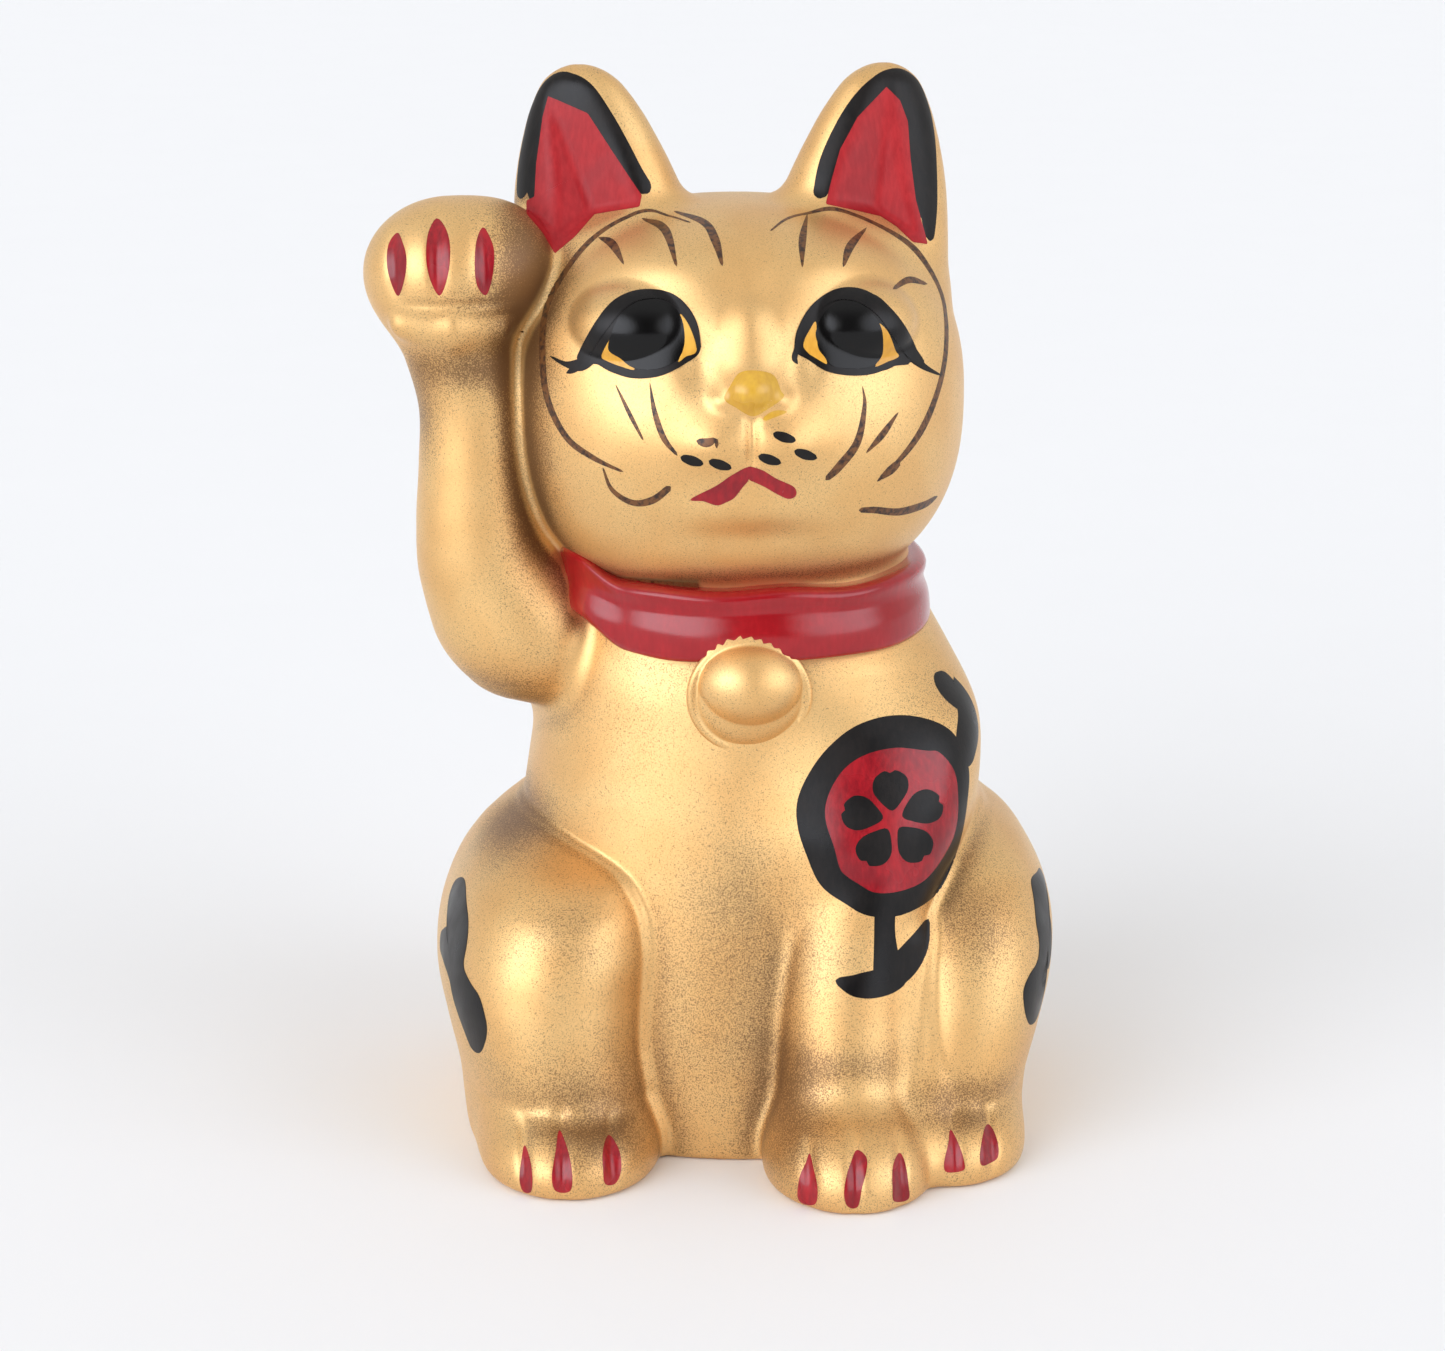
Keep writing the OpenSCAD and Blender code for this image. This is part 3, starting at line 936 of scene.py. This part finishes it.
def land(start, aim):
    """Where each line first meets the figure, or comes nearest to it."""
    t = np.zeros(len(start))
    best, near = t.copy(), np.full(len(t), 1e9)
    for _ in range(STEPS):
        d = distance(start + aim * t[:, None])
        closer = d < near
        best, near = np.where(closer, t, best), np.where(closer, d, near)
        t = t + np.where((near > TOUCH) & (t < REACH), np.maximum(0.85 * d, TOUCH), 0.0)
    return settle(start + aim * best[:, None], rounds=4, most=3.0)


AHEAD = 60.0    # how far before its mark a line of sight starts


def sight(marks):
    """Places on the figure behind the marks, seen from the front."""
    marks = np.asarray(marks, float)
    aim = np.column_stack([marks[:, 0], np.full(len(marks), MARK_Y), marks[:, 1]]) - EYE
    far = np.linalg.norm(aim, axis=1, keepdims=True)
    return land(EYE + aim * (1.0 - AHEAD / far), aim / far)


def flank(side):
    """Places behind marks (y, z) on the figure's right (-1) or left (1) side, seen level from there."""
    def view(marks):
        marks = np.asarray(marks, float)
        start = np.column_stack([np.full(len(marks), FLANK_X * side), marks])
        return land(start, np.tile([-1.0 * side, 0.0, 0.0], (len(marks), 1)))
    return view


def spline(points, closed=False, each=16):
    """Dense smooth curve through the points."""
    points = np.asarray(points, float)
    n = len(points)
    if n == 2 and not closed:
        t = np.linspace(0, 1, 2 * each)[:, None]
        return points[0] * (1 - t) + points[1] * t
    if closed:
        row = np.vstack([points[-1:], points, points[:2]])
    else:
        row = np.vstack([2 * points[0] - points[1], points, 2 * points[-1] - points[-2]])
    t = np.linspace(0, 1, each, endpoint=False)[:, None]
    out = []
    for a, b, c, d in zip(row, row[1:], row[2:], row[3:]):
        cubic = (3 * b - a - 3 * c + d) * t**3
        out.append(0.5 * (2 * b + (c - a) * t + (2 * a - 5 * b + 4 * c - d) * t**2 + cubic))
    if not closed:
        out.append(points[-1:])
    return np.vstack(out)


def evenly(points, gap, closed=False, axes=2):
    """The curve's points at even gaps, how far along it each one is, from 0 to 1, and its length.
    Only the first axes count as length; a stroke's last one is its width."""
    if closed:
        points = np.vstack([points, points[:1]])
    along = np.concatenate([[0.0], np.cumsum(np.linalg.norm(np.diff(points[:, :axes], axis=0), axis=1))])
    total = along[-1]
    n = max(5, int(math.ceil(total / gap)) + 1)
    s = np.linspace(0.0, total, n)[: n - 1 if closed else n]
    return np.column_stack([np.interp(s, along, axis) for axis in points.T]), s / total, total


class Paint:
    """Collects strokes and patches of one colour into one piece."""

    def __init__(self):
        self.points, self.normals, self.faces, self.count = [], [], [], 0

    def add(self, top, up, thick, closed, hub=False):
        """A skin of (n, m) top points, the ways up at them, and its underside that much lower. Its rows
        join up if it is closed, and run together in the middle if it has a hub."""
        facing = np.cross(top[:-1, 1:] - top[:-1, :-1], top[1:, :-1] - top[:-1, :-1])
        if (facing * up[:-1, :-1]).sum() < 0:
            top, up = top[::-1], up[::-1]
        under = top - up * thick
        n, m = top.shape[:2]
        base, tips = self.count, self.count + 2 * n * m

        def face(*corners, tip=None):
            """One face, by corners (row, place in the row, 0 on top or 1 below)."""
            first = [] if tip is None else [tips + tip]
            self.faces.append(first + [base + (below * n + i % n) * m + j for i, j, below in corners])

        for i in range(n if closed else n - 1):
            for j in range(m - 1):
                face((i, j, 0), (i, j + 1, 0), (i + 1, j + 1, 0), (i + 1, j, 0))
                face((i, j, 1), (i + 1, j, 1), (i + 1, j + 1, 1), (i, j + 1, 1))
            face((i, m - 1, 0), (i, m - 1, 1), (i + 1, m - 1, 1), (i + 1, m - 1, 0))
            if hub:
                face((i, 0, 0), (i + 1, 0, 0), tip=0)
                face((i + 1, 0, 1), (i, 0, 1), tip=1)
            else:
                face((i, 0, 0), (i + 1, 0, 0), (i + 1, 0, 1), (i, 0, 1))
        if not closed:
            for j in range(m - 1):
                face((0, j, 0), (0, j, 1), (0, j + 1, 1), (0, j + 1, 0))
                face((n - 1, j, 0), (n - 1, j + 1, 0), (n - 1, j + 1, 1), (n - 1, j, 1))
        self.points += [top.reshape(-1, 3), under.reshape(-1, 3)]
        self.normals += [up.reshape(-1, 3), -up.reshape(-1, 3)]
        self.count = tips
        if hub:
            self.points.append(np.array([top[:, 0].mean(0), under[:, 0].mean(0)]))
            self.normals.append(np.array([up[:, 0].mean(0), -up[:, 0].mean(0)]))
            self.count += 2

    def stroke(self, marks, width, closed=False, flat=True, lift=0.0, gap=0.6):
        """A brush stroke with round ends: width is one number or one for each mark. A flat stroke
        keeps its width as seen from the front, and any other keeps it on the surface."""
        width = np.broadcast_to(np.asarray(width, float), len(marks))
        line = np.asarray(marks, float) if flat else sight(marks)
        line = spline(np.column_stack([line, width]), closed)
        line, share, total = evenly(line, gap, closed, line.shape[1] - 1)
        half = 0.5 * np.maximum(line[:, -1], 0.15)
        line = line[:, :-1] if flat else settle(line[:, :-1])
        if not closed:
            end = np.clip(np.minimum(share, 1 - share) * total / half, 0.0, 1.0)
            half = half * np.sqrt(np.maximum(1.0 - (1.0 - end) ** 2, 0.04))
        ahead = (np.roll(line, -1, 0) - np.roll(line, 1, 0)) if closed else np.gradient(line, axis=0)
        if flat:
            side = unit(np.column_stack([ahead[:, 1], -ahead[:, 0]]))
        else:
            side = unit(np.cross(unit(ahead), unit(gradient(line))))
        across, rise = np.array(STRIP).T
        spots = line[:, None] + side[:, None] * (half[:, None] * across)[:, :, None]
        shape = spots.shape[:2] + (3,)
        skin = sight(spots.reshape(-1, 2)) if flat else settle(spots.reshape(-1, 3))
        up = unit(gradient(skin)).reshape(shape)
        top = skin.reshape(shape) + up * (rise[None, :, None] + lift)
        self.add(top, up, DEPTH + lift, closed)

    def patch(self, marks, lift=0.0, gap=0.8, smooth=True, view=sight):
        """A filled patch inside a closed outline of marks, smooth or with straight sides."""
        outline = np.asarray(marks, float)
        if smooth:
            outline = spline(outline, True)
        else:
            ends = zip(outline, np.roll(outline, -1, 0))
            outline = np.vstack([np.linspace(a, b, 8, endpoint=False) for a, b in ends])
        outline, _, _ = evenly(outline, gap, True)
        hub = outline.mean(0)
        reach = np.linalg.norm(outline - hub, axis=1).max()
        rings = max(4, int(math.ceil(reach / gap)))
        share = np.append(np.linspace(0.06, 1.0 - 0.25 / reach, rings), 1.0)
        spots = hub + (outline[:, None] - hub) * share[None, :, None]
        flat = view(spots.reshape(-1, 2))
        shape = spots.shape[:2] + (3,)
        up = unit(gradient(flat)).reshape(shape)
        rise = np.full(len(share), LIFT + lift)
        rise[-1] = -TUCK + lift
        top = flat.reshape(shape) + up * rise[None, :, None]
        self.add(top, up, DEPTH + lift, True, hub=True)

    def done(self, name, material):
        """Makes the piece."""
        points, normals = np.vstack(self.points), np.vstack(self.normals)
        make_piece(name, points, self.faces, material, (), normals, {})


# ---- the figure
BELL_REACH = 18.0
make_casting(GOLD)
make_solid("collar_band", collar_ring, (-52, -54, 112), (52, 54, 142), 0.65, BAND_RED,
    "collar")
make_solid("bell_ball", bell, BELL - BELL_REACH, BELL + BELL_REACH, 0.5, GOLD, "bell")

# Ears: black rims round a red hollow
rims_black = Paint()
rims_black.stroke([(-52.6, 225.5), (-52.2, 232), (-50.8, 239), (-49.2, 244.5), (-45.5, 249.5),
    (-42.5, 249.5), (-39, 247.5), (-35, 242.5), (-31.5, 237), (-28, 230.5), (-25, 226.5)],
    (6, 6.6, 7, 7.6, 8, 8, 7, 5.8, 5, 4.8, 4), flat=False)
rims_black.stroke([(12, 225), (14, 232.5), (17.5, 240), (21.5, 246), (26.5, 250), (30.5, 250.5),
    (33.5, 247), (35, 240.5), (35.5, 232), (36, 224), (36.5, 215.5)],
    (3.6, 4.8, 5.2, 5.2, 6, 7, 8, 8.4, 8.4, 7, 3), flat=False)
for outline in (
    [(-46, 249), (-39, 246), (-32, 237), (-27.5, 228), (-29, 225.5), (-36, 224), (-44, 218), (-50.5, 224),
        (-51.8, 228), (-51.2, 238)],
    [(24.5, 249.5), (29.5, 250), (33, 246), (34, 236), (34.5, 225), (34.5, 219), (31, 221), (25, 224.5),
        (16, 226.5), (15.5, 229), (17, 238), (22, 246)],
):
    rims_black.patch(outline, smooth=False, gap=0.8, lift=-0.03)
rims_black.done("ear_rim_paint", BLACK)
ears = Paint()
ears.patch([(-46.5, 247.5), (-38, 243.75), (-32.75, 235.5), (-26.5, 226), (-27, 223.5), (-36.75, 222),
    (-41, 217.25), (-45.5, 213.5), (-48, 218), (-51.5, 222.25), (-51.5, 225), (-49.75, 225.75),
    (-49.25, 233), (-47.75, 243)], smooth=False, gap=0.6, lift=0.1)
ears.patch([(26.5, 249), (29.5, 246), (31.25, 241.5), (32, 233), (33.25, 224.5), (36, 214.75),
    (32.75, 215.25), (29, 218.75), (25.5, 221), (20.25, 222.25), (13.5, 223.75), (14.75, 229),
    (16.5, 235.5), (20.25, 242.5)], smooth=False, gap=0.6, lift=0.1)
ears.done("ear_hollow_paint", EAR_RED)

# Eyes: a black almond, yellow corners, a glossy ball and raised lids
lids = Paint()
lids.patch([(-40, 190), (-38, 195.5), (-35, 200.5), (-31.5, 203.75), (-26.75, 205), (-21.25, 204.75),
    (-17.5, 202.5), (-15, 198.5), (-13.75, 192), (-17, 189), (-20.5, 187.25), (-25, 186.25), (-30.5, 187),
    (-36, 189.5)], gap=0.6)
lids.patch([(7, 191.25), (7.5, 196), (10.25, 200.75), (14, 203.5), (18.5, 204.75), (24.25, 204), (28, 201),
    (31.25, 197), (33.75, 192.25), (34.5, 189), (30.5, 188.5), (27.25, 187), (22.5, 186.25), (17, 186.5),
    (12.25, 188.25), (9, 190.25)], gap=0.6)
lids.stroke([(-40.25, 189.5), (-38, 193.75), (-35, 198.25), (-32, 201.75), (-28.25, 203.9), (-23.75, 204.4),
    (-20, 203.5), (-16.9, 200.75), (-15, 197), (-14.1, 192)], (2.2, 2.6, 3, 3, 2.4, 2, 1.8, 1.6, 1.4, 1),
    lift=0.3)
lids.stroke([(-39.75, 189.75), (-36.5, 190), (-33.25, 188), (-28.75, 186.6), (-23.75, 186.8),
    (-19.5, 188.3), (-14.75, 191)], (2.2, 1.8, 1.4, 1.4, 1.4, 1.2, 0.8), lift=0.25)
lids.stroke([(-46.75, 191), (-43.5, 189.25), (-40.25, 189), (-37, 190.25)], (0.4, 1.2, 2.8, 1.4), lift=0.1)
lids.stroke([(-43.25, 187.2), (-41.75, 188), (-40.25, 189.25)], (0.5, 1.6, 2), lift=0.08)
lids.stroke([(7.25, 191.25), (8.1, 195.5), (10.4, 199.75), (13.4, 202.6), (17.25, 204), (21.75, 203.3),
    (26.1, 200.25), (29.5, 195.5), (32.75, 190.75), (35.25, 188)],
    (1, 1.6, 2, 2.2, 2.6, 3, 3, 2.8, 2.6, 1.6), lift=0.3)
lids.stroke([(7.25, 191.5), (10.25, 190), (14.25, 187.6), (19.25, 186.6), (24.25, 186.9), (28.5, 188.5),
    (32.5, 189)], (0.9, 1.2, 1.4, 1.4, 1.4, 1.4, 1.6), lift=0.25)
lids.stroke([(32.75, 190.25), (35.5, 187.75), (39.25, 185.75)], (2.6, 1.4, 0.4), lift=0.1)
lids.stroke([(7.5, 192.5), (6.9, 190), (7.6, 188.6)], (1, 1.3, 0.4), lift=0.1)
lids.done("eyelid_paint", BLACK)
balls = Paint()
balls.patch([(-34, 192.5), (-33, 196.5), (-31, 200.25), (-27.5, 202.5), (-23.25, 203.25), (-20, 201.75),
    (-18, 199.25), (-17.25, 195.75), (-17.5, 192.5), (-19, 189.75), (-22.75, 188), (-26.5, 187.75),
    (-29.25, 188.5), (-31.5, 190.5)], gap=0.5, lift=0.3)
balls.patch([(11.5, 194.5), (12, 197.25), (13.75, 200.25), (16.75, 202.25), (20.75, 202), (24, 199.5),
    (25.9, 196.5), (26.4, 193.25), (26.1, 190.25), (24.25, 188), (20.25, 187.4), (15.75, 187.9),
    (13.5, 190)], gap=0.5, lift=0.3)
balls.done("eyeball_paint", GLOSS)
corners = Paint()
corners.patch([(-35.5, 190.75), (-34.5, 193.25), (-32.75, 195.5), (-32, 192.25), (-28.25, 187.9),
    (-31.5, 188.6), (-34.25, 189.75)], lift=0.16, gap=0.4)
corners.patch([(-18.25, 200), (-16.75, 198.25), (-15.5, 195.5), (-14.6, 192.5), (-15.25, 191.1),
    (-17, 190.6), (-18.75, 189.25), (-17.75, 192), (-17.25, 194.75), (-17.75, 197.5)], lift=0.16, gap=0.4)
corners.patch([(11.5, 198), (10.1, 196), (9, 193.75), (9.25, 191.75), (13.25, 188.25), (14, 189.25),
    (12.25, 191.75), (11.75, 194.5)], lift=0.16, gap=0.4)
corners.patch([(25.25, 197.5), (27.5, 195.5), (29.25, 191.25), (29.9, 190), (27.5, 188.8), (24.75, 187.7),
    (26, 191), (26.25, 194)], lift=0.16, gap=0.4)
corners.done("eye_corner_paint", YELLOW)

# Nose, mouth and whisker dots
nose_paint = Paint()
nose_paint.patch([(-5.25, 187), (-1.25, 187.4), (2.5, 186.25), (4.1, 182.75), (4.75, 181.25), (1.5, 178.75),
    (-2.25, 176.9), (-6.25, 179), (-8.75, 181), (-7.4, 184)], gap=0.6, lift=-0.05)
nose_paint.stroke([(0, 176.25), (2.5, 177.5), (5.25, 178)], (1, 1.6, 0.6))
nose_paint.done("nose_paint", OCHRE)
mouth = Paint()
mouth.patch([(-3, 165.75), (-6.75, 164), (-10.5, 161.5), (-16.25, 158.5), (-13.25, 158), (-10.25, 157),
    (-8, 157.75), (-6.25, 158.75), (-4.5, 161), (-3, 163)], gap=0.6)
mouth.patch([(-3.5, 165.75), (-0.25, 165), (3, 163), (7, 161), (7.5, 159), (5.75, 158.25), (3, 159.5),
    (0.5, 161), (-2, 162.25), (-3.25, 163)], gap=0.6)
mouth.done("mouth_paint", RED)
dots = Paint()
for x, z in ((-15.75, 167.25), (-9.5, 166.25), (1.5, 167.25), (4.75, 172.25), (9.5, 168.25)):
    dots.stroke([(x - 2.5, z + 0.9), (x, z), (x + 2.5, z - 0.8)], (1.4, 2.4, 1.2), gap=0.4)
dots.done("whisker_dots", BLACK)

# Thin brown lines of the face
lines = Paint()
lines.stroke([(-16, 220), (-23.5, 222.5), (-30.5, 221), (-37.5, 216.5), (-43, 210), (-47.5, 201.5),
    (-48.5, 192.5), (-47.5, 181.5), (-43.5, 173), (-38, 168.5), (-31, 165)],
    (0.6, 1, 1.3, 1.7, 2.1, 2.5, 2.6, 2.4, 1.9, 1.5, 0.6), flat=False)
lines.stroke([(1.5, 218), (6, 221), (12.5, 222.5), (19.5, 221.5), (28, 217.5), (35, 211.5), (39.5, 203),
    (40.5, 194), (39, 183), (35, 173), (25.5, 162)], (0.5, 1, 1.4, 1.7, 2.0, 2.3, 2.5, 2.4, 2.2, 2.3, 0.8),
    flat=False)
for marks, width in (
    ([(-36, 217), (-33, 215.5), (-30.5, 211)], (0.4, 2, 0.4)),
    ([(-26.5, 221), (-21.5, 218.5), (-19, 210.5)], (0.4, 2, 0.6)),
    ([(-19.5, 222.5), (-13, 220), (-10.5, 216), (-9, 210.5)], (0.4, 1.6, 2, 0.6)),
    ([(9.5, 221.5), (8.5, 216), (8.5, 210)], (0.4, 1.8, 0.4)),
    ([(22.5, 218.5), (19, 214.5), (17.5, 210)], (0.4, 2, 0.6)),
    ([(36, 206), (32, 207), (28.5, 205)], (0.6, 1.6, 0.8)),
    ([(-32.5, 184.5), (-29.5, 178), (-26.5, 172)], (0.3, 1.0, 0.5)),
    ([(-25, 185), (-24, 178.5), (-22, 172.5), (-19, 168.5)], (0.2, 1.2, 1.4, 0.6)),
    ([(22, 183.5), (22.5, 179), (21, 171), (17, 165.5), (14, 162.5)], (0.2, 1, 1.8, 2, 1.2)),
    ([(30, 177.5), (26.5, 172.5), (23, 168.5)], (0.4, 1.6, 0.4)),
    ([(30.5, 166.5), (28.5, 164.5), (26, 162.5)], (1.4, 2, 0.8)),
    ([(-35.5, 166), (-33.5, 161), (-29, 158), (-24.5, 158.5), (-20.5, 161.5)], (0.4, 1, 1.4, 1.8, 1.6)),
    ([(21.5, 155.5), (25, 155.5), (30.5, 155), (36, 156.5), (39, 158.5)], (1.2, 1.6, 1.8, 1.6, 0.6)),
):
    lines.stroke(marks, width)
lines.stroke([(-14.75, 171.75), (-12.5, 171.25), (-10.5, 171.75), (-10.25, 170)], (1.2, 2.2, 1.2, 0.6))
lines.done("face_lines", BROWN)

# Claws
CLAW_SHARE = 0.96


def narrow(outline, share):
    """The outline drawn in sideways towards its middle."""
    outline = np.array(outline, float)
    centre = outline[:, 0].mean()
    outline[:, 0] = centre + (outline[:, 0] - centre) * share
    return outline


claws = Paint()
for outline in (
    [(-79.5, 218.5), (-78.5, 217), (-77.5, 213), (-78, 208.5), (-79.5, 204.5), (-81, 207), (-82, 211.5),
        (-81.5, 216)],
    [(-71, 221.5), (-69, 219.5), (-68, 215.5), (-68.5, 209.5), (-70.5, 204.5), (-72.5, 207.5),
        (-73.5, 212.5), (-73, 218)],
    [(-61, 219.5), (-59.5, 217.5), (-58.5, 214), (-59, 208.5), (-60.5, 204.5), (-62.5, 206.5), (-63, 211),
        (-62.5, 216.5)],
    [(-55, 6), (-53.5, 0.5), (-53.5, -5.5), (-55.5, -6), (-56.5, -3), (-56, 2)],
    [(-47, 9.5), (-45, 4.5), (-44, -1.5), (-44.5, -6), (-48, -6), (-49, -2.5), (-48, 4)],
    [(-35.5, 8), (-33, 4), (-32.5, -1), (-34, -4.5), (-36.5, -4.5), (-37, -1), (-37, 4)],
    [(11.5, 2), (12.5, -2), (13.5, -7), (13, -11), (10, -11), (8.5, -9), (9, -4), (10.5, -0.5)],
    [(22.5, 2.5), (25, 0.5), (25, -3), (24, -7), (23, -12), (20.5, -12), (19.5, -9), (20, -4.5), (21, -1)],
    [(32.5, 1.5), (34, -1), (35, -7), (35, -10.5), (31.5, -11), (31, -8), (31, -2)],
    [(44.5, 7), (46.5, 3.5), (48, -1), (48, -3.5), (44, -4), (43, -2), (44, 3.5)],
    [(53, 8), (54.5, 7), (56, 3), (56, -0.5), (54, -2), (52, -2.5), (51.5, 0), (52, 4.5)],
):
    claws.patch(narrow(outline, CLAW_SHARE), gap=0.5)
claws.done("claw_paint", RED)

# The ragged top of the bell's gold, over the collar
slop = Paint()
slop.patch([(-14, 120.5), (-12.6, 122.3), (-12.4, 123.8), (-10.6, 123.9), (-10.1, 125.4), (-8.8, 124.9),
    (-8, 126.4), (-6.3, 126), (-5, 127.2), (-4.4, 126.3), (-2.4, 126.9), (-1.8, 126), (-0.2, 126.3),
    (0.2, 125.1), (1.9, 125.4), (2.6, 124.1), (4, 124), (4.6, 122.6), (6.3, 122), (6.8, 120.6), (2, 119),
    (-8, 119)], smooth=False, gap=0.5, lift=0.05)
slop.done("bell_slop_paint", GOLD)

# Brush marks on the haunches, as (y, z) marks seen from the sides
blots = Paint()
blots.patch([(-23, 60.8), (-32, 58), (-36.5, 55.5), (-39.5, 51.5), (-41, 47), (-45, 44.5), (-49, 42.2),
    (-51.2, 37.5), (-51, 33.5), (-48.5, 29), (-45.7, 27.2), (-42.7, 27.7), (-40, 31.5), (-36.5, 36.5),
    (-33, 41), (-26, 43), (-19, 44), (-17, 47), (-20.5, 49.5), (-22.5, 51), (-17, 53), (-12.5, 55.5),
    (-12, 58.5), (-17, 60.8)], view=flank(-1))
blots.patch([(-23, 61), (-30, 61.5), (-35, 58.5), (-39.5, 54), (-42, 49), (-44.5, 46), (-48.3, 44.2),
    (-50.8, 41.5), (-51.2, 38), (-50.2, 34.5), (-47.5, 31.5), (-43, 30.5), (-39.5, 32.5), (-40, 36.5),
    (-43, 40.5), (-39, 42), (-35, 41), (-31, 43.5), (-29, 48), (-27, 53), (-22, 56), (-17, 57.5),
    (-17, 60)], view=flank(1))
blots.done("haunch_paint", BLACK)

# Chest: a red medallion with a black ring and blossom, in place of writing
RING = [(30.5, 104), (37.5, 103), (42, 101), (45.5, 95), (46, 87), (45, 79), (42, 71.5), (38, 66),
    (31.5, 63), (25.5, 63), (21, 65.5), (16, 69.5), (13.5, 76), (11.5, 82.5), (11.5, 88), (14, 94),
    (18, 99), (23.5, 102.5)]
medal_red = Paint()
medal_red.patch(RING, lift=-0.05, gap=0.9)
medal_red.done("medallion_red", RED)
medal = Paint()
medal.stroke(RING, (8, 7.6, 5.6, 3.6, 2.2, 1.8, 3.2, 4.8, 6, 6, 5.8, 6, 6.8, 6.8, 6.8, 6.4, 6.6, 7.6),
    closed=True, lift=0.05)
BLOSSOM, PETAL_TURN = np.array([30.0, 83.0]), 94
for k in range(5):
    turn = math.radians(PETAL_TURN + 72 * k)
    out, side = np.array([math.cos(turn), math.sin(turn)]), np.array([-math.sin(turn), math.cos(turn)])
    petal = ((2.2, 0), (4.2, 2.4), (7.2, 4.2), (10.2, 3.8), (12.0, 1.4), (11.4, 0), (12.0, -1.4),
        (10.2, -3.8), (7.2, -4.0), (4.2, -2.2))
    medal.patch([BLOSSOM + out * a + side * b for a, b in petal], lift=0.03, gap=0.7)
medal.stroke([(28.5, 63.5), (28.5, 55), (29.5, 44)], (5.0, 5.0, 7.4), lift=0.06)
medal.stroke([(26.5, 43.5), (32, 47), (36, 52.5), (38.5, 59)], (6, 7.2, 5.6, 1.0), lift=0.04)
medal.stroke([(33.5, 47), (28.5, 44), (22.5, 43.2), (17.2, 44.6)], (6, 7.2, 6.2, 1.6), lift=0.02)
medal.stroke([(41, 118), (42.5, 114.5), (46, 111), (47.5, 106.5), (47, 101), (45.8, 96)],
    (9, 11.5, 11, 11, 10, 8), lift=0.02, flat=False)
medal.done("medallion_black", BLACK)

# ---- floor and light
DOME = 0.785    # brightness of the studio's dome
LAMPS = (((-0.68, -0.66, 0.26), 4.0), ((0.76, -0.60, 0.24), 2.4))    # soft lamps: way to each, and how bright
LAMP_EDGE, LAMP_CORE = 0.79, 0.975    # where a lamp's light starts and is full, as cosines
WALL = 12.0    # metres: how far away the wall is
WALL_LOW, WALL_HIGH = -1.0, 9.0    # metres
SIDES = 96    # of the round floor and wall


def make_round(name, rings, look):
    """A disc inside one ring (radius, height), or a band between two, as part of the setting."""
    around = [2.0 * math.pi * k / SIDES for k in range(SIDES)]
    points = [(r * math.cos(a), r * math.sin(a), z) for r, z in rings for a in around]
    faces = [list(range(SIDES))]
    if len(rings) == 2:
        faces = [(k, (k + 1) % SIDES, SIDES + (k + 1) % SIDES, SIDES + k) for k in range(SIDES)]
    mesh = bpy.data.meshes.new(name)
    mesh.from_pydata(points, [], faces)
    mesh.materials.append(look.material)
    stand = bpy.data.objects.new(name, mesh)
    bpy.context.scene.collection.objects.link(stand)
    stand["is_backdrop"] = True
    return stand


def make_floor():
    """A pale floor, and a wall round it as pale as the floor, there for the camera alone so that it takes
    no light from the figure."""
    paper = Look("paper")
    paper.surface(Base_Color=(0.0, 0.0, 0.0, 1.0), Specular_IOR_Level=0.0, Roughness=1.0,
                  Emission_Color=linear(246, 248, 251), Emission_Strength=1.0)
    pale = Look("floor")
    tone = pale.mix(pale.noise(60.0, 2.0), (0.865, 0.865, 0.865, 1.0), (0.875, 0.875, 0.875, 1.0))
    pale.surface(Base_Color=tone, Roughness=0.9, Specular_IOR_Level=0.1)
    make_round("floor", [(WALL, 0.0)], pale)
    wall = make_round("wall", [(WALL, WALL_LOW), (WALL, WALL_HIGH)], paper)
    wall.visible_diffuse = wall.visible_glossy = wall.visible_transmission = wall.visible_shadow = False


def make_world():
    """A white studio: an even dome, dimmer low down in front, with two large soft lamps."""
    world = bpy.data.worlds.new("studio")
    bpy.context.scene.world = world
    world.use_nodes = True
    n = Nodes(world.node_tree)
    back = n.tree.nodes["Background"]
    way = n.add("ShaderNodeTexCoord").outputs["Generated"]

    def towards(direction, low, high, to_low, to_high):
        """A value that changes with how near the way looked in is to the direction."""
        inputs = {0: way, 1: Vector(direction).normalized()}
        near = n.add("ShaderNodeVectorMath", inputs, operation="DOT_PRODUCT").outputs["Value"]
        return n.ramp(near, low, high, to_low, to_high)

    total = towards((0.05, -1.0, -0.05), 0.30, 0.90, DOME, 0.15 * DOME)
    for direction, strength in LAMPS:
        total = n.plus(total, towards(direction, LAMP_EDGE, LAMP_CORE, 0.0, strength))
    glare = n.ramp(total, 0.9, 2.5, kind="LINEAR")
    n.feed(back.inputs["Color"], n.mix(glare, (0.985, 0.988, 0.99, 1.0), (0.97, 1.0, 1.08, 1.0)))
    n.feed(back.inputs["Strength"], total)


bpy.context.scene.view_settings.view_transform = "Standard"
make_floor()
make_world()
